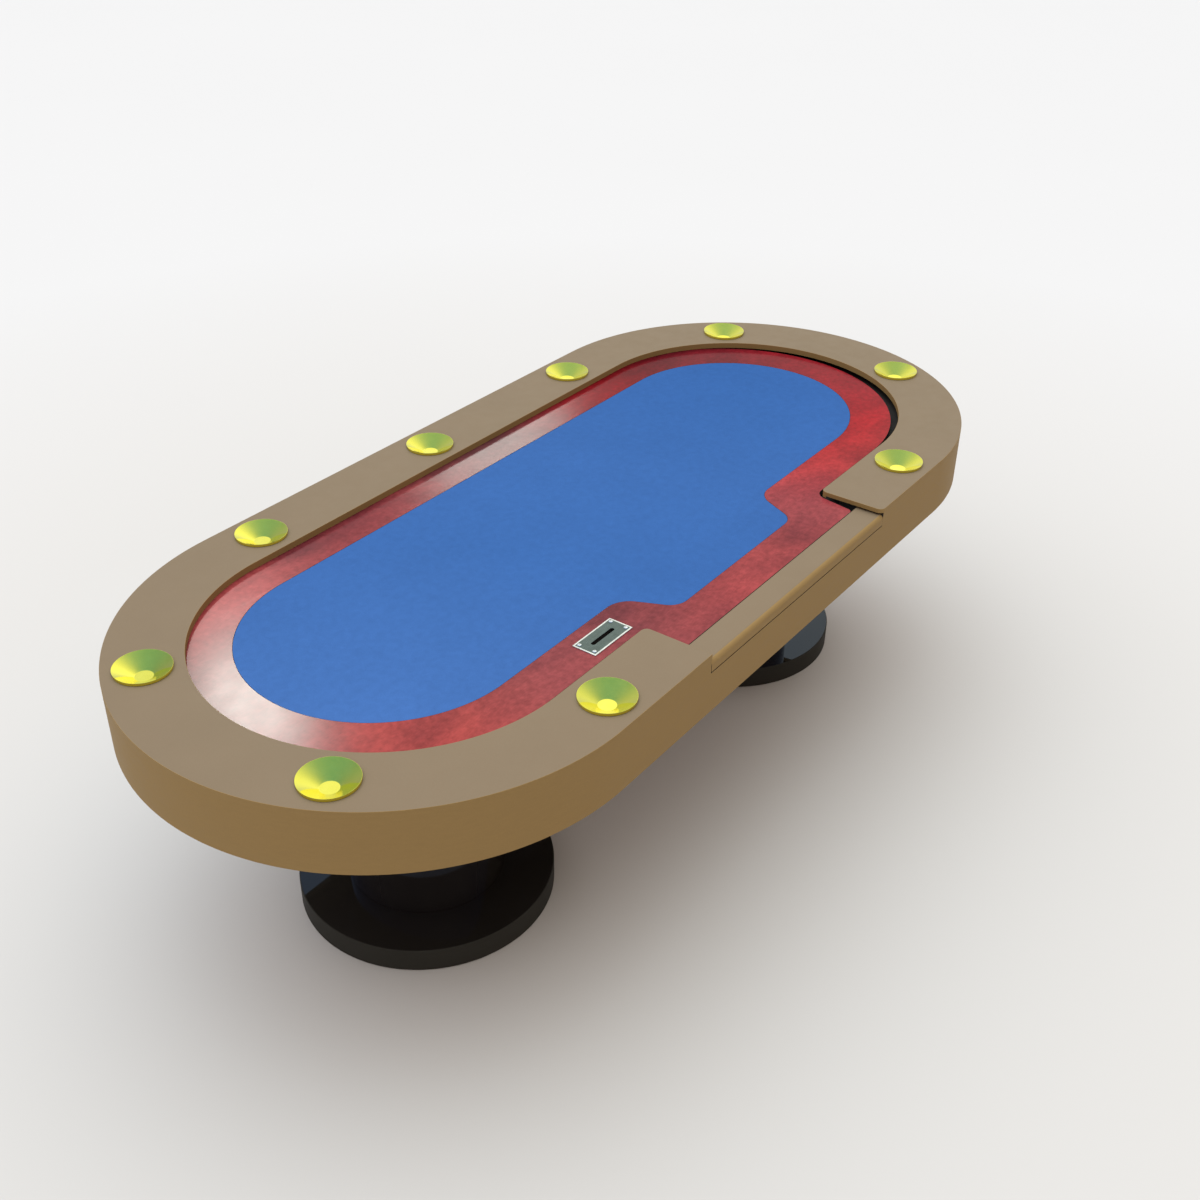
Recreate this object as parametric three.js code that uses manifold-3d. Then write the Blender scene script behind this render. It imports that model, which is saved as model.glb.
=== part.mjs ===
// Oval poker table with a dealer's cut-out, on two drum pedestals. Millimetres, +Z up.
// The origin is on the floor under the middle of the table, +X runs along its length,
// and the dealer sits on the -Y side.
import * as THREE from 'three';
import { mergeVertices } from 'three/addons/utils/BufferGeometryUtils.js';
import Module from 'manifold-3d';

const wasm = await Module();
wasm.setup();

// ---- Driving dimensions ----
const GAP = 0.3; // clearance between pieces that rest on each other
const LENGTH = 2440;
const WIDTH = 1118;
const RAIL_TOP_Z = 706;
const APRON_DEPTH = 140;
const APRON_WALL = 18;
const RAIL_WIDTH = 158;
const RAIL_BOARD = 10;
const SURFACE_DROP = 15; // from the rail's top down to the playing surface

// Dealer's cut-out in the rail, and the lower armrest board that fills it
const CUTOUT_LEFT = -366;
const CUTOUT_RIGHT = 352;
const RAIL_CORNER_R = 14;
const ARMREST_WIDTH = 66;
const ARMREST_DROP = 16;
const ARMREST_THICK = 27;
const ARMREST_EDGE_R = 11;
const ARMREST_OVERLAP = 8; // how far its right end runs in under the rail
const ARMREST_SEAM = 1.6;
const ARMREST_CLEAT_INSET = { ends: 10, inner: 5 };

// The playing surface sits a little off the middle of the rail's opening
const SURFACE_X = -12.5;
const SURFACE_Y = 13.5;
const SURFACE_HALF_STRAIGHT = 657;
const FELT_END_R = 298;
const RACETRACK_WIDTH = 104;
const RACETRACK_THICK = 18;
const FELT_REVEAL = 1; // shadow gap between the felt and the racetrack
const CLOTH_THICK = 1.5;
const FOAM_THICK = 5;
const FELT_TONGUE = { bottomY: -400, halfBottom: 201, corner: 45, fillet: 60, slope: 65 };
const RACETRACK_TONGUE = { bottomY: -492.5, halfBottom: 337, corner: 12, fillet: 30, slope: 80 };
const DECK_TONGUE = { bottomY: -492.2, halfBottom: 347, corner: 12, fillet: 8, slope: 80 };

// Drop-in brass dishes
const CUP_RIM_R = 57.2;
const CUP_RIM_RISE = 6.5;
const CUP_BOTTOM_R = 18.2;
const CUP_DEPTH = 22.7;
const CUP_WALL = 2;
const CUP_LIP = { width: 1.2, round: 0.5, height: 0.8, foot: 1 };
const CUP_HOLE_R = 50.6;
const CUP_FRAME_HOLE_R = 35;

// Frame under the rail and the deck
const RAIL_FRAME_INNER = 118; // from the table's outer edge to the frame's inner edge
const RAIL_FRAME_CORNER_R = 2;
const RAIL_FRAME_SETBACK = { left: 24, right: 6 }; // of its ends, clear of the armrest and the deck
const CROSS_BEAM = { width: 60, height: 30 };
const LONG_BEAM = { width: 50, height: 35, y: 215, halfLength: 1135 };
const CROSS_BEAM_X = { end: 1000, pedestal: 632, middle: 250 };
const END_BEAM_HALF_LENGTH = 388;

// Pedestals
const PEDESTAL_X = { left: -615, right: 649 }; // a little to the right of the middle
const BASE_R = 283.5;
const BASE_TOP_Z = 57.7;
const BASE_BEVEL = 2;
const COLUMN_R = 173;
const COLUMN_WALL = 12;
const CLEAT_THICK = 20;
const PLATE_THICK = 12;
const PLATE_HALF = { x: 225, y: 240 };
const BOLT_SPREAD = { x: 200, y: 215 };
const BOLT_R = 5;
const BOLT_HOLE_R = 5.8;
const BOLT_HEAD_R = 9.2;
const BOLT_HEAD = 6.7;
const BOLT_SIDES = 6;
const BOLT_TOP_COVER = 10; // wood left above the end of a bolt
const FOOT_RING = { inner: 250, outer: 270, height: 6, stand: 2 };

// Drop slot, chute and cash box
const SLOT_X = -427.5;
const SLOT_Y = -342;
const SLOT_PLATE = { length: 125, width: 57, thick: 1.7 };
const SLOT = { length: 72, width: 9 };
const SCREW_INSET = 10;
const SCREW_R = 1.8;
const SCREW_HEAD_R = 4.4;
const SCREW_LENGTH = 14;
const SCREW_POINT = 1;
const SCREW_HEAD = { height: 1.6, rim: 0.6, shoulder: 1.12 };
const CHUTE = { length: 82, width: 14, wall: 1.5, flange: 14, bottomZ: 562.5, play: 1 };
const CASH_BOX = { halfWidth: 70, frontY: -428, backY: -250, bottomZ: 430, topZ: 560 };
const CASH_WALL = 2;
const CASH_FLANGE = 12;
const RUNNER = { sidePlay: 1.5, lip: 9, foot: 22 };
const DOOR_THICK = 2;
const DOOR_GAP = 0.5;
const DOOR_INSET = { left: 2.5, ends: 1 };
const HINGE_WEB = { start: 2.6, depth: 5.5 };
const HINGE = { x: -502, y: -430, pinR: 2, holeR: 2.15, knuckleR: 4.5, bottomZ: 433, topZ: 555 };
const HINGE_SPLIT = { low: 460, high: 528 };
const LOCK = { x: -372, z: 494, r: 8, hole: 8.6, length: 10, bevel: 1, inset: 4 };
const KEYWAY = { width: 1.6, height: 6, depth: 4 };
const CAM = { reach: 15.5, width: 7, thick: 2, inset: 3 };
const KEEPER_SLOT = { above: 6, below: 12, start: 1, length: 8, wall: 5 };
const HANDLE = { halfLength: 42, bar: 8, reach: 26, offset: 10 };
const CUT = 10; // how far a cutting block runs out past what it cuts

// Facets
const END_STEPS = 24;
const FINE_STEPS = 6;
const CUP_STEPS = 18;
const DRUM_STEPS = 36;
const SCREW_STEPS = 8;

// ---- Levels and outlines worked out from the dimensions ----
const HALF_WIDTH = WIDTH / 2;
const HALF_STRAIGHT = LENGTH / 2 - HALF_WIDTH;
const RAIL_BOTTOM_Z = RAIL_TOP_Z - RAIL_BOARD;
const SURFACE_Z = RAIL_TOP_Z - SURFACE_DROP;
const APRON_BOTTOM_Z = RAIL_TOP_Z - APRON_DEPTH;
const RACETRACK_BOTTOM_Z = SURFACE_Z - RACETRACK_THICK;
const DECK_TOP_Z = RACETRACK_BOTTOM_Z - GAP;
const DECK_BOTTOM_Z = 655;
const CROSS_TOP_Z = DECK_BOTTOM_Z - GAP;
const CROSS_BOTTOM_Z = CROSS_TOP_Z - CROSS_BEAM.height;
const LONG_TOP_Z = CROSS_BOTTOM_Z - GAP;
const LONG_BOTTOM_Z = LONG_TOP_Z - LONG_BEAM.height;
const PLATE_TOP_Z = LONG_BOTTOM_Z - GAP;
const PLATE_BOTTOM_Z = PLATE_TOP_Z - PLATE_THICK;
const COLUMN_TOP_Z = PLATE_BOTTOM_Z - GAP;
const COLUMN_BOTTOM_Z = BASE_TOP_Z + GAP;
const ARMREST_TOP_Z = RAIL_TOP_Z - ARMREST_DROP;
const ARMREST_BOTTOM_Z = ARMREST_TOP_Z - ARMREST_THICK;
const ARMREST_RIGHT = CUTOUT_RIGHT + ARMREST_OVERLAP;
const CUP_CENTRE_R = HALF_WIDTH - RAIL_WIDTH / 2;

const materials = {
  railTop: new THREE.MeshStandardMaterial({ color: 0x9b8b74, roughness: 0.55, metalness: 0 }),
  apron: new THREE.MeshStandardMaterial({ color: 0x846c48, roughness: 0.5, metalness: 0 }),
  racetrack: new THREE.MeshStandardMaterial({ color: 0x8f3a38, roughness: 0.2, metalness: 0 }),
  felt: new THREE.MeshStandardMaterial({ color: 0x3f6fb9, roughness: 0.95, metalness: 0 }),
  foam: new THREE.MeshStandardMaterial({ color: 0xd8d4c4, roughness: 0.95, metalness: 0 }),
  plywood: new THREE.MeshStandardMaterial({ color: 0xb08d5c, roughness: 0.8, metalness: 0 }),
  darkBoard: new THREE.MeshStandardMaterial({ color: 0x1c1a19, roughness: 0.8, metalness: 0 }),
  brass: new THREE.MeshStandardMaterial({ color: 0xd6c63a, roughness: 0.22, metalness: 1 }),
  steel: new THREE.MeshStandardMaterial({ color: 0x9aa39f, roughness: 0.3, metalness: 1 }),
  blackLacquer: new THREE.MeshStandardMaterial({ color: 0x0d0d0e, roughness: 0.08, metalness: 0 }),
  blackPaint: new THREE.MeshStandardMaterial({ color: 0x1a1b1d, roughness: 0.45, metalness: 0.3 }),
  rubber: new THREE.MeshStandardMaterial({ color: 0x141414, roughness: 0.9, metalness: 0 }),
};

const table = new THREE.Group();

function add(name, geometry, material, parent = table) {
  const mesh = new THREE.Mesh(geometry, material);
  mesh.name = name;
  parent.add(mesh);
  return mesh;
}

function radians(degrees) {
  return (degrees * Math.PI) / 180;
}

function arc(x, y, r, from, to, steps) {
  return Array.from({ length: steps + 1 }, (_, i) => {
    const angle = radians(from + ((to - from) * i) / steps);
    return new THREE.Vector2(x + r * Math.cos(angle), y + r * Math.sin(angle));
  });
}

function circle(x, y, r, steps) {
  return arc(x, y, r, 0, 360, steps).slice(0, -1);
}

function rectangle(x, y, length, width) {
  const corners = [[-1, -1], [1, -1], [1, 1], [-1, 1]];
  return corners.map(([i, j]) => new THREE.Vector2(x + (i * length) / 2, y + (j * width) / 2));
}

function roundedSlot(x, y, length, width) {
  const r = width / 2;
  const reach = length / 2 - r;
  return [...arc(x + reach, y, r, -90, 90, FINE_STEPS), ...arc(x - reach, y, r, 90, 270, FINE_STEPS)];
}

function stadium(halfStraight, r, x = 0, y = 0) {
  return [
    ...arc(x + halfStraight, y, r, -90, 90, END_STEPS),
    ...arc(x - halfStraight, y, r, 90, 270, END_STEPS),
  ];
}

// A flat board: an outline with holes, between two levels.
function board(outline, holes, bottom, top) {
  const shape = new THREE.Shape(outline);
  shape.holes = holes.map((points) => new THREE.Path(points));
  const geometry = new THREE.ExtrudeGeometry(shape, { depth: top - bottom, bevelEnabled: false });
  return geometry.translate(0, 0, bottom);
}

function block([x0, x1], [y0, y1], [z0, z1]) {
  const geometry = new THREE.BoxGeometry(x1 - x0, y1 - y0, z1 - z0);
  return geometry.translate((x0 + x1) / 2, (y0 + y1) / 2, (z0 + z1) / 2);
}

// A turned piece about the vertical axis, from [radius, height] pairs that run upwards outside.
function turned(profile, steps, startAngle = 0) {
  const points = profile.map(([r, z]) => new THREE.Vector2(r, z));
  return new THREE.LatheGeometry(points, steps, startAngle).rotateX(Math.PI / 2);
}

function solid(geometry) {
  const bare = geometry.clone();
  bare.deleteAttribute('normal');
  bare.deleteAttribute('uv');
  const merged = mergeVertices(bare, 1e-4);
  return new wasm.Manifold(
    new wasm.Mesh({
      numProp: 3,
      vertProperties: new Float32Array(merged.attributes.position.array),
      triVerts: new Uint32Array(merged.index.array),
    }),
  );
}

function geometryOf(manifold) {
  const mesh = manifold.getMesh();
  const geometry = new THREE.BufferGeometry();
  geometry.setAttribute('position', new THREE.BufferAttribute(mesh.vertProperties, 3));
  geometry.setIndex(new THREE.BufferAttribute(mesh.triVerts, 1));
  geometry.computeVertexNormals();
  return geometry;
}

function joined(...geometries) {
  return geometries.map(solid).reduce((sum, next) => sum.add(next));
}

// ---- Rail, apron and dealer's armrest ----

const cups = [
  { name: 'end_left_back', x: -HALF_STRAIGHT, turn: 145 },
  { name: 'end_left_front', x: -HALF_STRAIGHT, turn: 210 },
  { name: 'end_right_back', x: HALF_STRAIGHT, turn: 38 },
  { name: 'end_right_front', x: HALF_STRAIGHT, turn: -28.5 },
  { name: 'back_left', x: -569, turn: 90 },
  { name: 'back_middle', x: -20, turn: 90 },
  { name: 'back_right', x: 534, turn: 90 },
  { name: 'dealer_left', x: -602, turn: -90 },
  { name: 'dealer_right', x: 593, turn: -90 },
].map(({ name, x, turn }) => ({
  name,
  x: x + CUP_CENTRE_R * Math.cos(radians(turn)),
  y: CUP_CENTRE_R * Math.sin(radians(turn)),
}));

function cupHoles(r) {
  return cups.map(({ x, y }) => circle(x, y, r, CUP_STEPS));
}

// An oval ring that is open on the dealer's side between two ends.
function openRing(inset, width, leftEnd, rightEnd, corners) {
  const outer = HALF_WIDTH - inset;
  const inner = outer - width;
  const { leftInner, rightInner, rightOuter } = corners;
  return [
    new THREE.Vector2(leftEnd, -outer),
    ...arc(leftEnd - leftInner, -inner - leftInner, leftInner, 0, 90, FINE_STEPS),
    ...arc(-HALF_STRAIGHT, 0, inner, 270, 90, END_STEPS),
    ...arc(HALF_STRAIGHT, 0, inner, 90, -90, END_STEPS),
    ...arc(rightEnd + rightInner, -inner - rightInner, rightInner, 90, 180, FINE_STEPS),
    ...arc(rightEnd + rightOuter, -outer + rightOuter, rightOuter, 180, 270, FINE_STEPS),
    ...arc(HALF_STRAIGHT, 0, outer, -90, 90, END_STEPS),
    ...arc(-HALF_STRAIGHT, 0, outer, 90, 270, END_STEPS),
  ];
}

function buildRail() {
  const rounded = { leftInner: RAIL_CORNER_R, rightInner: RAIL_CORNER_R, rightOuter: RAIL_CORNER_R };
  const outline = openRing(0, RAIL_WIDTH, CUTOUT_LEFT, CUTOUT_RIGHT, rounded);
  add('rail_top', board(outline, cupHoles(CUP_HOLE_R), RAIL_BOTTOM_Z, RAIL_TOP_Z), materials.railTop);
}

function buildRailFrame() {
  const r = RAIL_FRAME_CORNER_R;
  const square = { leftInner: r, rightInner: r, rightOuter: r };
  const inset = APRON_WALL + GAP;
  const width = RAIL_FRAME_INNER - inset;
  const leftEnd = CUTOUT_LEFT - RAIL_FRAME_SETBACK.left;
  const rightEnd = ARMREST_RIGHT + RAIL_FRAME_SETBACK.right;
  const outline = openRing(inset, width, leftEnd, rightEnd, square);
  const geometry = board(outline, cupHoles(CUP_FRAME_HOLE_R), DECK_BOTTOM_Z, RAIL_BOTTOM_Z - GAP);
  add('rail_frame', geometry, materials.darkBoard);
}

function buildApron() {
  const outer = stadium(HALF_STRAIGHT, HALF_WIDTH);
  const inner = stadium(HALF_STRAIGHT, HALF_WIDTH - APRON_WALL);
  const ring = solid(board(outer, [inner], APRON_BOTTOM_Z, RAIL_BOTTOM_Z - GAP));
  const notch = block(
    [CUTOUT_LEFT - ARMREST_SEAM, ARMREST_RIGHT + GAP],
    [-HALF_WIDTH - CUT, -HALF_WIDTH + ARMREST_WIDTH],
    [ARMREST_BOTTOM_Z - ARMREST_SEAM, RAIL_TOP_Z],
  );
  add('apron', geometryOf(ring.subtract(solid(notch))), materials.apron);
}

function buildArmrest() {
  const inner = -HALF_WIDTH + ARMREST_WIDTH;
  const edge = arc(
    -HALF_WIDTH + ARMREST_EDGE_R,
    ARMREST_TOP_Z - ARMREST_EDGE_R,
    ARMREST_EDGE_R,
    180,
    90,
    FINE_STEPS,
  );
  const section = [
    new THREE.Vector2(inner, ARMREST_BOTTOM_Z),
    new THREE.Vector2(-HALF_WIDTH, ARMREST_BOTTOM_Z),
    ...edge,
    new THREE.Vector2(inner, ARMREST_TOP_Z),
  ];
  // The section is drawn in Y and Z, and extruded along X.
  const toTable = new THREE.Matrix4().makeBasis(
    new THREE.Vector3(0, 1, 0),
    new THREE.Vector3(0, 0, 1),
    new THREE.Vector3(1, 0, 0),
  );
  const geometry = board(section, [], CUTOUT_LEFT, ARMREST_RIGHT).applyMatrix4(toTable);
  add('dealer_armrest', geometry, materials.railTop);
  const cleat = block(
    [CUTOUT_LEFT + ARMREST_CLEAT_INSET.ends, ARMREST_RIGHT - ARMREST_CLEAT_INSET.ends],
    [-HALF_WIDTH + APRON_WALL + GAP, inner - ARMREST_CLEAT_INSET.inner],
    [DECK_BOTTOM_Z, ARMREST_BOTTOM_Z - GAP],
  );
  add('armrest_cleat', cleat, materials.plywood);
}

// ---- Playing surface ----

// One side of the dealer's tongue: a fillet off the long edge, a slope, and a rounded corner.
function tongue({ bottomY, halfBottom, corner, fillet, slope }, edgeY) {
  const lean = radians(slope);
  const drop = edgeY - bottomY - (fillet + corner) * (1 - Math.cos(lean));
  const run = (fillet + corner) * Math.sin(lean) + drop / Math.tan(lean);
  const left = SURFACE_X - halfBottom;
  const right = SURFACE_X + halfBottom;
  return [
    ...arc(left - run, edgeY - fillet, fillet, 90, 90 - slope, FINE_STEPS),
    ...arc(left, bottomY + corner, corner, 270 - slope, 270, FINE_STEPS),
    ...arc(right, bottomY + corner, corner, 270, 270 + slope, FINE_STEPS),
    ...arc(right + run, edgeY - fillet, fillet, 90 + slope, 90, FINE_STEPS),
  ];
}

function surfaceOutline(endR, tongueShape) {
  return [
    ...stadium(SURFACE_HALF_STRAIGHT, endR, SURFACE_X, SURFACE_Y),
    ...tongue(tongueShape, SURFACE_Y - endR),
  ];
}

// The felt's outline, moved outwards by a margin.
function feltOutline(margin) {
  const { bottomY, corner, fillet } = FELT_TONGUE;
  return surfaceOutline(FELT_END_R + margin, {
    ...FELT_TONGUE,
    bottomY: bottomY - margin,
    corner: corner + margin,
    fillet: fillet - margin,
  });
}

const screwPlaces = [[-1, -1], [1, -1], [1, 1], [-1, 1]].map(([i, j]) => [
  SLOT_X + i * (SLOT_PLATE.length / 2 - SCREW_INSET),
  SLOT_Y + j * (SLOT_PLATE.width / 2 - SCREW_INSET),
]);

function buildSurface() {
  const chuteLength = CHUTE.length - 2 * CHUTE.wall;
  const chuteWidth = CHUTE.width - 2 * CHUTE.wall;
  const pilots = screwPlaces.map(([x, y]) => circle(x, y, SCREW_R + GAP, SCREW_STEPS));
  const racetrackHoles = [
    feltOutline(FELT_REVEAL),
    rectangle(SLOT_X, SLOT_Y, chuteLength, chuteWidth),
    ...pilots,
  ];
  const racetrack = surfaceOutline(FELT_END_R + RACETRACK_WIDTH, RACETRACK_TONGUE);
  add('racetrack', board(racetrack, racetrackHoles, RACETRACK_BOTTOM_Z, SURFACE_Z), materials.racetrack);

  const clothBottom = SURFACE_Z - CLOTH_THICK;
  const foamTop = clothBottom - GAP;
  const foamBottom = foamTop - FOAM_THICK;
  add('felt_cloth', board(feltOutline(0), [], clothBottom, SURFACE_Z), materials.felt);
  add('foam_underlay', board(feltOutline(-1), [], foamBottom, foamTop), materials.foam);
  const core = board(feltOutline(0), [], RACETRACK_BOTTOM_Z, foamBottom - GAP);
  add('playing_board', core, materials.plywood);

  // The deck fills the rail frame's opening, so nothing shows through beside the racetrack.
  const deckR = HALF_WIDTH - RAIL_FRAME_INNER - GAP;
  const deck = [...stadium(HALF_STRAIGHT, deckR), ...tongue(DECK_TONGUE, -deckR)];
  const chuteHole = rectangle(
    SLOT_X,
    SLOT_Y,
    CHUTE.length + 2 * CHUTE.play,
    CHUTE.width + 2 * CHUTE.play,
  );
  add('deck_board', board(deck, [chuteHole], DECK_BOTTOM_Z, DECK_TOP_Z), materials.darkBoard);
}

// ---- Cup holders ----

// A spun dish: a flat rim that stands on the rail, a cone, and a small flat bottom.
function cupProfile() {
  const bottom = CUP_RIM_RISE - CUP_DEPTH;
  const lipR = CUP_RIM_R - CUP_LIP.width;
  const spread = (lipR - CUP_BOTTOM_R) / CUP_DEPTH;
  const skew = CUP_WALL * Math.hypot(1, spread);
  const innerAtRail = lipR - CUP_RIM_RISE * spread;
  return [
    [0, bottom - CUP_WALL],
    [CUP_BOTTOM_R - CUP_WALL * spread + skew, bottom - CUP_WALL],
    [innerAtRail + skew, 0],
    [innerAtRail + skew, GAP],
    [CUP_RIM_R - CUP_LIP.foot, GAP],
    [CUP_RIM_R, CUP_RIM_RISE - CUP_LIP.height],
    [CUP_RIM_R - CUP_LIP.round, CUP_RIM_RISE],
    [lipR, CUP_RIM_RISE],
    [CUP_BOTTOM_R, bottom],
    [0, bottom],
  ];
}

function buildCups() {
  cups.forEach(({ name, x, y }) => {
    const dish = add(`cup_holder_${name}`, turned(cupProfile(), CUP_STEPS), materials.brass);
    dish.position.set(x, y, RAIL_TOP_Z);
  });
}

// ---- Drop slot, chute and cash box ----

function buildSlotPlate() {
  const bottom = SURFACE_Z + GAP;
  const top = bottom + SLOT_PLATE.thick;
  const holes = screwPlaces.map(([x, y]) => circle(x, y, SCREW_R + GAP, SCREW_STEPS));
  holes.push(roundedSlot(SLOT_X, SLOT_Y, SLOT.length, SLOT.width));
  const outline = rectangle(SLOT_X, SLOT_Y, SLOT_PLATE.length, SLOT_PLATE.width);
  add('slot_plate', board(outline, holes, bottom, top), materials.steel);

  const { height, rim, shoulder } = SCREW_HEAD;
  const screw = [
    [0, -SCREW_LENGTH],
    [SCREW_R, SCREW_POINT - SCREW_LENGTH],
    [SCREW_R, GAP],
    [SCREW_HEAD_R, GAP],
    [SCREW_HEAD_R - rim, GAP + shoulder],
    [SCREW_HEAD_R / 2, GAP + height],
    [0, GAP + height],
  ];
  screwPlaces.forEach(([x, y], i) => {
    const mesh = add(`slot_plate_screw_${i + 1}`, turned(screw, SCREW_STEPS), materials.steel);
    mesh.position.set(x, y, top);
  });
}

function buildChute() {
  const inner = rectangle(SLOT_X, SLOT_Y, CHUTE.length - 2 * CHUTE.wall, CHUTE.width - 2 * CHUTE.wall);
  const outer = rectangle(SLOT_X, SLOT_Y, CHUTE.length, CHUTE.width);
  const wide = CHUTE.length + 2 * CHUTE.flange;
  const deep = CHUTE.width + 2 * CHUTE.flange;
  const flange = rectangle(SLOT_X, SLOT_Y, wide, deep);
  const tube = board(outer, [inner], CHUTE.bottomZ, DECK_TOP_Z - GAP);
  const collar = board(flange, [inner], CROSS_TOP_Z - CASH_WALL, CROSS_TOP_Z);
  add('drop_chute', geometryOf(joined(tube, collar)), materials.steel);
}

function buildRunners() {
  const flangeEdge = CASH_BOX.halfWidth + CASH_FLANGE;
  const webInner = flangeEdge + RUNNER.sidePlay;
  const webOuter = webInner + CASH_WALL;
  const lipTop = CASH_BOX.topZ - CASH_WALL - GAP;
  const lipBottom = lipTop - CASH_WALL;
  const lipInner = flangeEdge - RUNNER.lip;
  const foot = webOuter + RUNNER.foot;
  const section = [
    [lipInner, lipBottom],
    [webOuter, lipBottom],
    [webOuter, CROSS_TOP_Z - CASH_WALL],
    [foot, CROSS_TOP_Z - CASH_WALL],
    [foot, CROSS_TOP_Z],
    [webInner, CROSS_TOP_Z],
    [webInner, lipTop],
    [lipInner, lipTop],
  ];
  [['left', -1], ['right', 1]].forEach(([side, sign]) => {
    const outline = section.map(([x, z]) => new THREE.Vector2(SLOT_X + sign * x, z));
    const geometry = board(outline, [], -CASH_BOX.backY, -CASH_BOX.frontY).rotateX(Math.PI / 2);
    add(`cash_box_runner_${side}`, geometry, materials.steel);
  });
}

function knuckle(bottom, top) {
  const ring = board(
    circle(HINGE.x, HINGE.y, HINGE.knuckleR, 2 * FINE_STEPS),
    [circle(HINGE.x, HINGE.y, HINGE.holeR, 2 * FINE_STEPS)],
    bottom,
    top,
  );
  return solid(ring);
}

function buildCashBox() {
  const left = SLOT_X - CASH_BOX.halfWidth;
  const right = SLOT_X + CASH_BOX.halfWidth;
  const { frontY, backY, bottomZ, topZ } = CASH_BOX;
  const inside = block(
    [left + CASH_WALL, right - CASH_WALL],
    [frontY - CUT, backY - CASH_WALL],
    [bottomZ + CASH_WALL, topZ - CASH_WALL],
  );
  const lid = block([left - CASH_FLANGE, right + CASH_FLANGE], [frontY, backY], [topZ - CASH_WALL, topZ]);
  const slot = board(rectangle(SLOT_X, SLOT_Y, CHUTE.length, CHUTE.width), [], topZ - CUT, topZ + CUT);
  const keeper = block(
    [right - KEEPER_SLOT.wall, right + CUT],
    [frontY + KEEPER_SLOT.start, frontY + KEEPER_SLOT.start + KEEPER_SLOT.length],
    [LOCK.z - KEEPER_SLOT.below, LOCK.z + KEEPER_SLOT.above],
  );
  let shell = solid(block([left, right], [frontY, backY], [bottomZ, topZ])).subtract(solid(inside));
  shell = shell.add(solid(lid)).subtract(solid(slot)).subtract(solid(keeper));
  [[HINGE.bottomZ, HINGE_SPLIT.low - DOOR_GAP], [HINGE_SPLIT.high + DOOR_GAP, HINGE.topZ]].forEach(
    ([low, high]) => {
      const web = block(
        [HINGE.x + HINGE_WEB.start, left + CASH_WALL],
        [HINGE.y + DOOR_GAP, HINGE.y + DOOR_GAP + HINGE_WEB.depth],
        [low, high],
      );
      shell = shell.add(knuckle(low, high)).add(solid(web));
    },
  );
  add('cash_box', geometryOf(shell), materials.blackPaint);

  const doorBack = frontY - DOOR_GAP;
  const doorFront = doorBack - DOOR_THICK;
  const lockHole = board(circle(LOCK.x, LOCK.z, LOCK.hole, 2 * FINE_STEPS), [], -frontY, -frontY + CUT);
  lockHole.rotateX(Math.PI / 2);
  const leafEdge = left + DOOR_INSET.left;
  const leaf = block(
    [leafEdge, right],
    [doorFront, doorBack],
    [bottomZ + DOOR_INSET.ends, topZ - CASH_WALL - DOOR_INSET.ends],
  );
  const tab = block(
    [HINGE.x + HINGE_WEB.start, leafEdge + DOOR_INSET.left],
    [doorFront, doorBack],
    [HINGE_SPLIT.low, HINGE_SPLIT.high],
  );
  const door = joined(leaf, tab).add(knuckle(HINGE_SPLIT.low, HINGE_SPLIT.high)).subtract(solid(lockHole));
  add('cash_box_door', geometryOf(door), materials.blackPaint);

  const pin = board(circle(HINGE.x, HINGE.y, HINGE.pinR, 2 * FINE_STEPS), [], HINGE.bottomZ, HINGE.topZ);
  add('cash_box_hinge_pin', pin, materials.steel);
  buildLock(frontY);
  buildHandle(doorFront);
}

// The plug turns in the door, and its cam swings into the slot in the box's right wall.
function buildLock(frontY) {
  const { x, z, r, length, bevel, inset } = LOCK;
  const plug = turned([[0, 0], [r, 0], [r, length - bevel], [r - bevel, length], [0, length]], 2 * FINE_STEPS);
  plug.rotateX(Math.PI / 2).translate(x, frontY + inset, z);
  const plugFront = frontY + inset - length;
  const keyway = block(
    [x - KEYWAY.width / 2, x + KEYWAY.width / 2],
    [plugFront - CUT, plugFront + KEYWAY.depth],
    [z - KEYWAY.height / 2, z + KEYWAY.height / 2],
  );
  const half = CAM.width / 2;
  const camBack = frontY + CAM.inset;
  const cam = block([x - half, x + half], [camBack, camBack + CAM.thick], [z - CAM.reach, z + half]);
  add('cash_box_lock', geometryOf(joined(plug, cam).subtract(solid(keyway))), materials.steel);
}

function buildHandle(doorFront) {
  const { halfLength, bar, reach } = HANDLE;
  const x = SLOT_X - HANDLE.offset;
  const back = doorFront - GAP;
  const outline = [
    [-halfLength, 0],
    [-halfLength, -reach],
    [halfLength, -reach],
    [halfLength, 0],
    [halfLength - bar, 0],
    [halfLength - bar, bar - reach],
    [bar - halfLength, bar - reach],
    [bar - halfLength, 0],
  ].map(([dx, dy]) => new THREE.Vector2(x + dx, back + dy));
  add('cash_box_handle', board(outline, [], LOCK.z - bar, LOCK.z + bar), materials.steel);
}

// ---- Frame and pedestals ----

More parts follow.
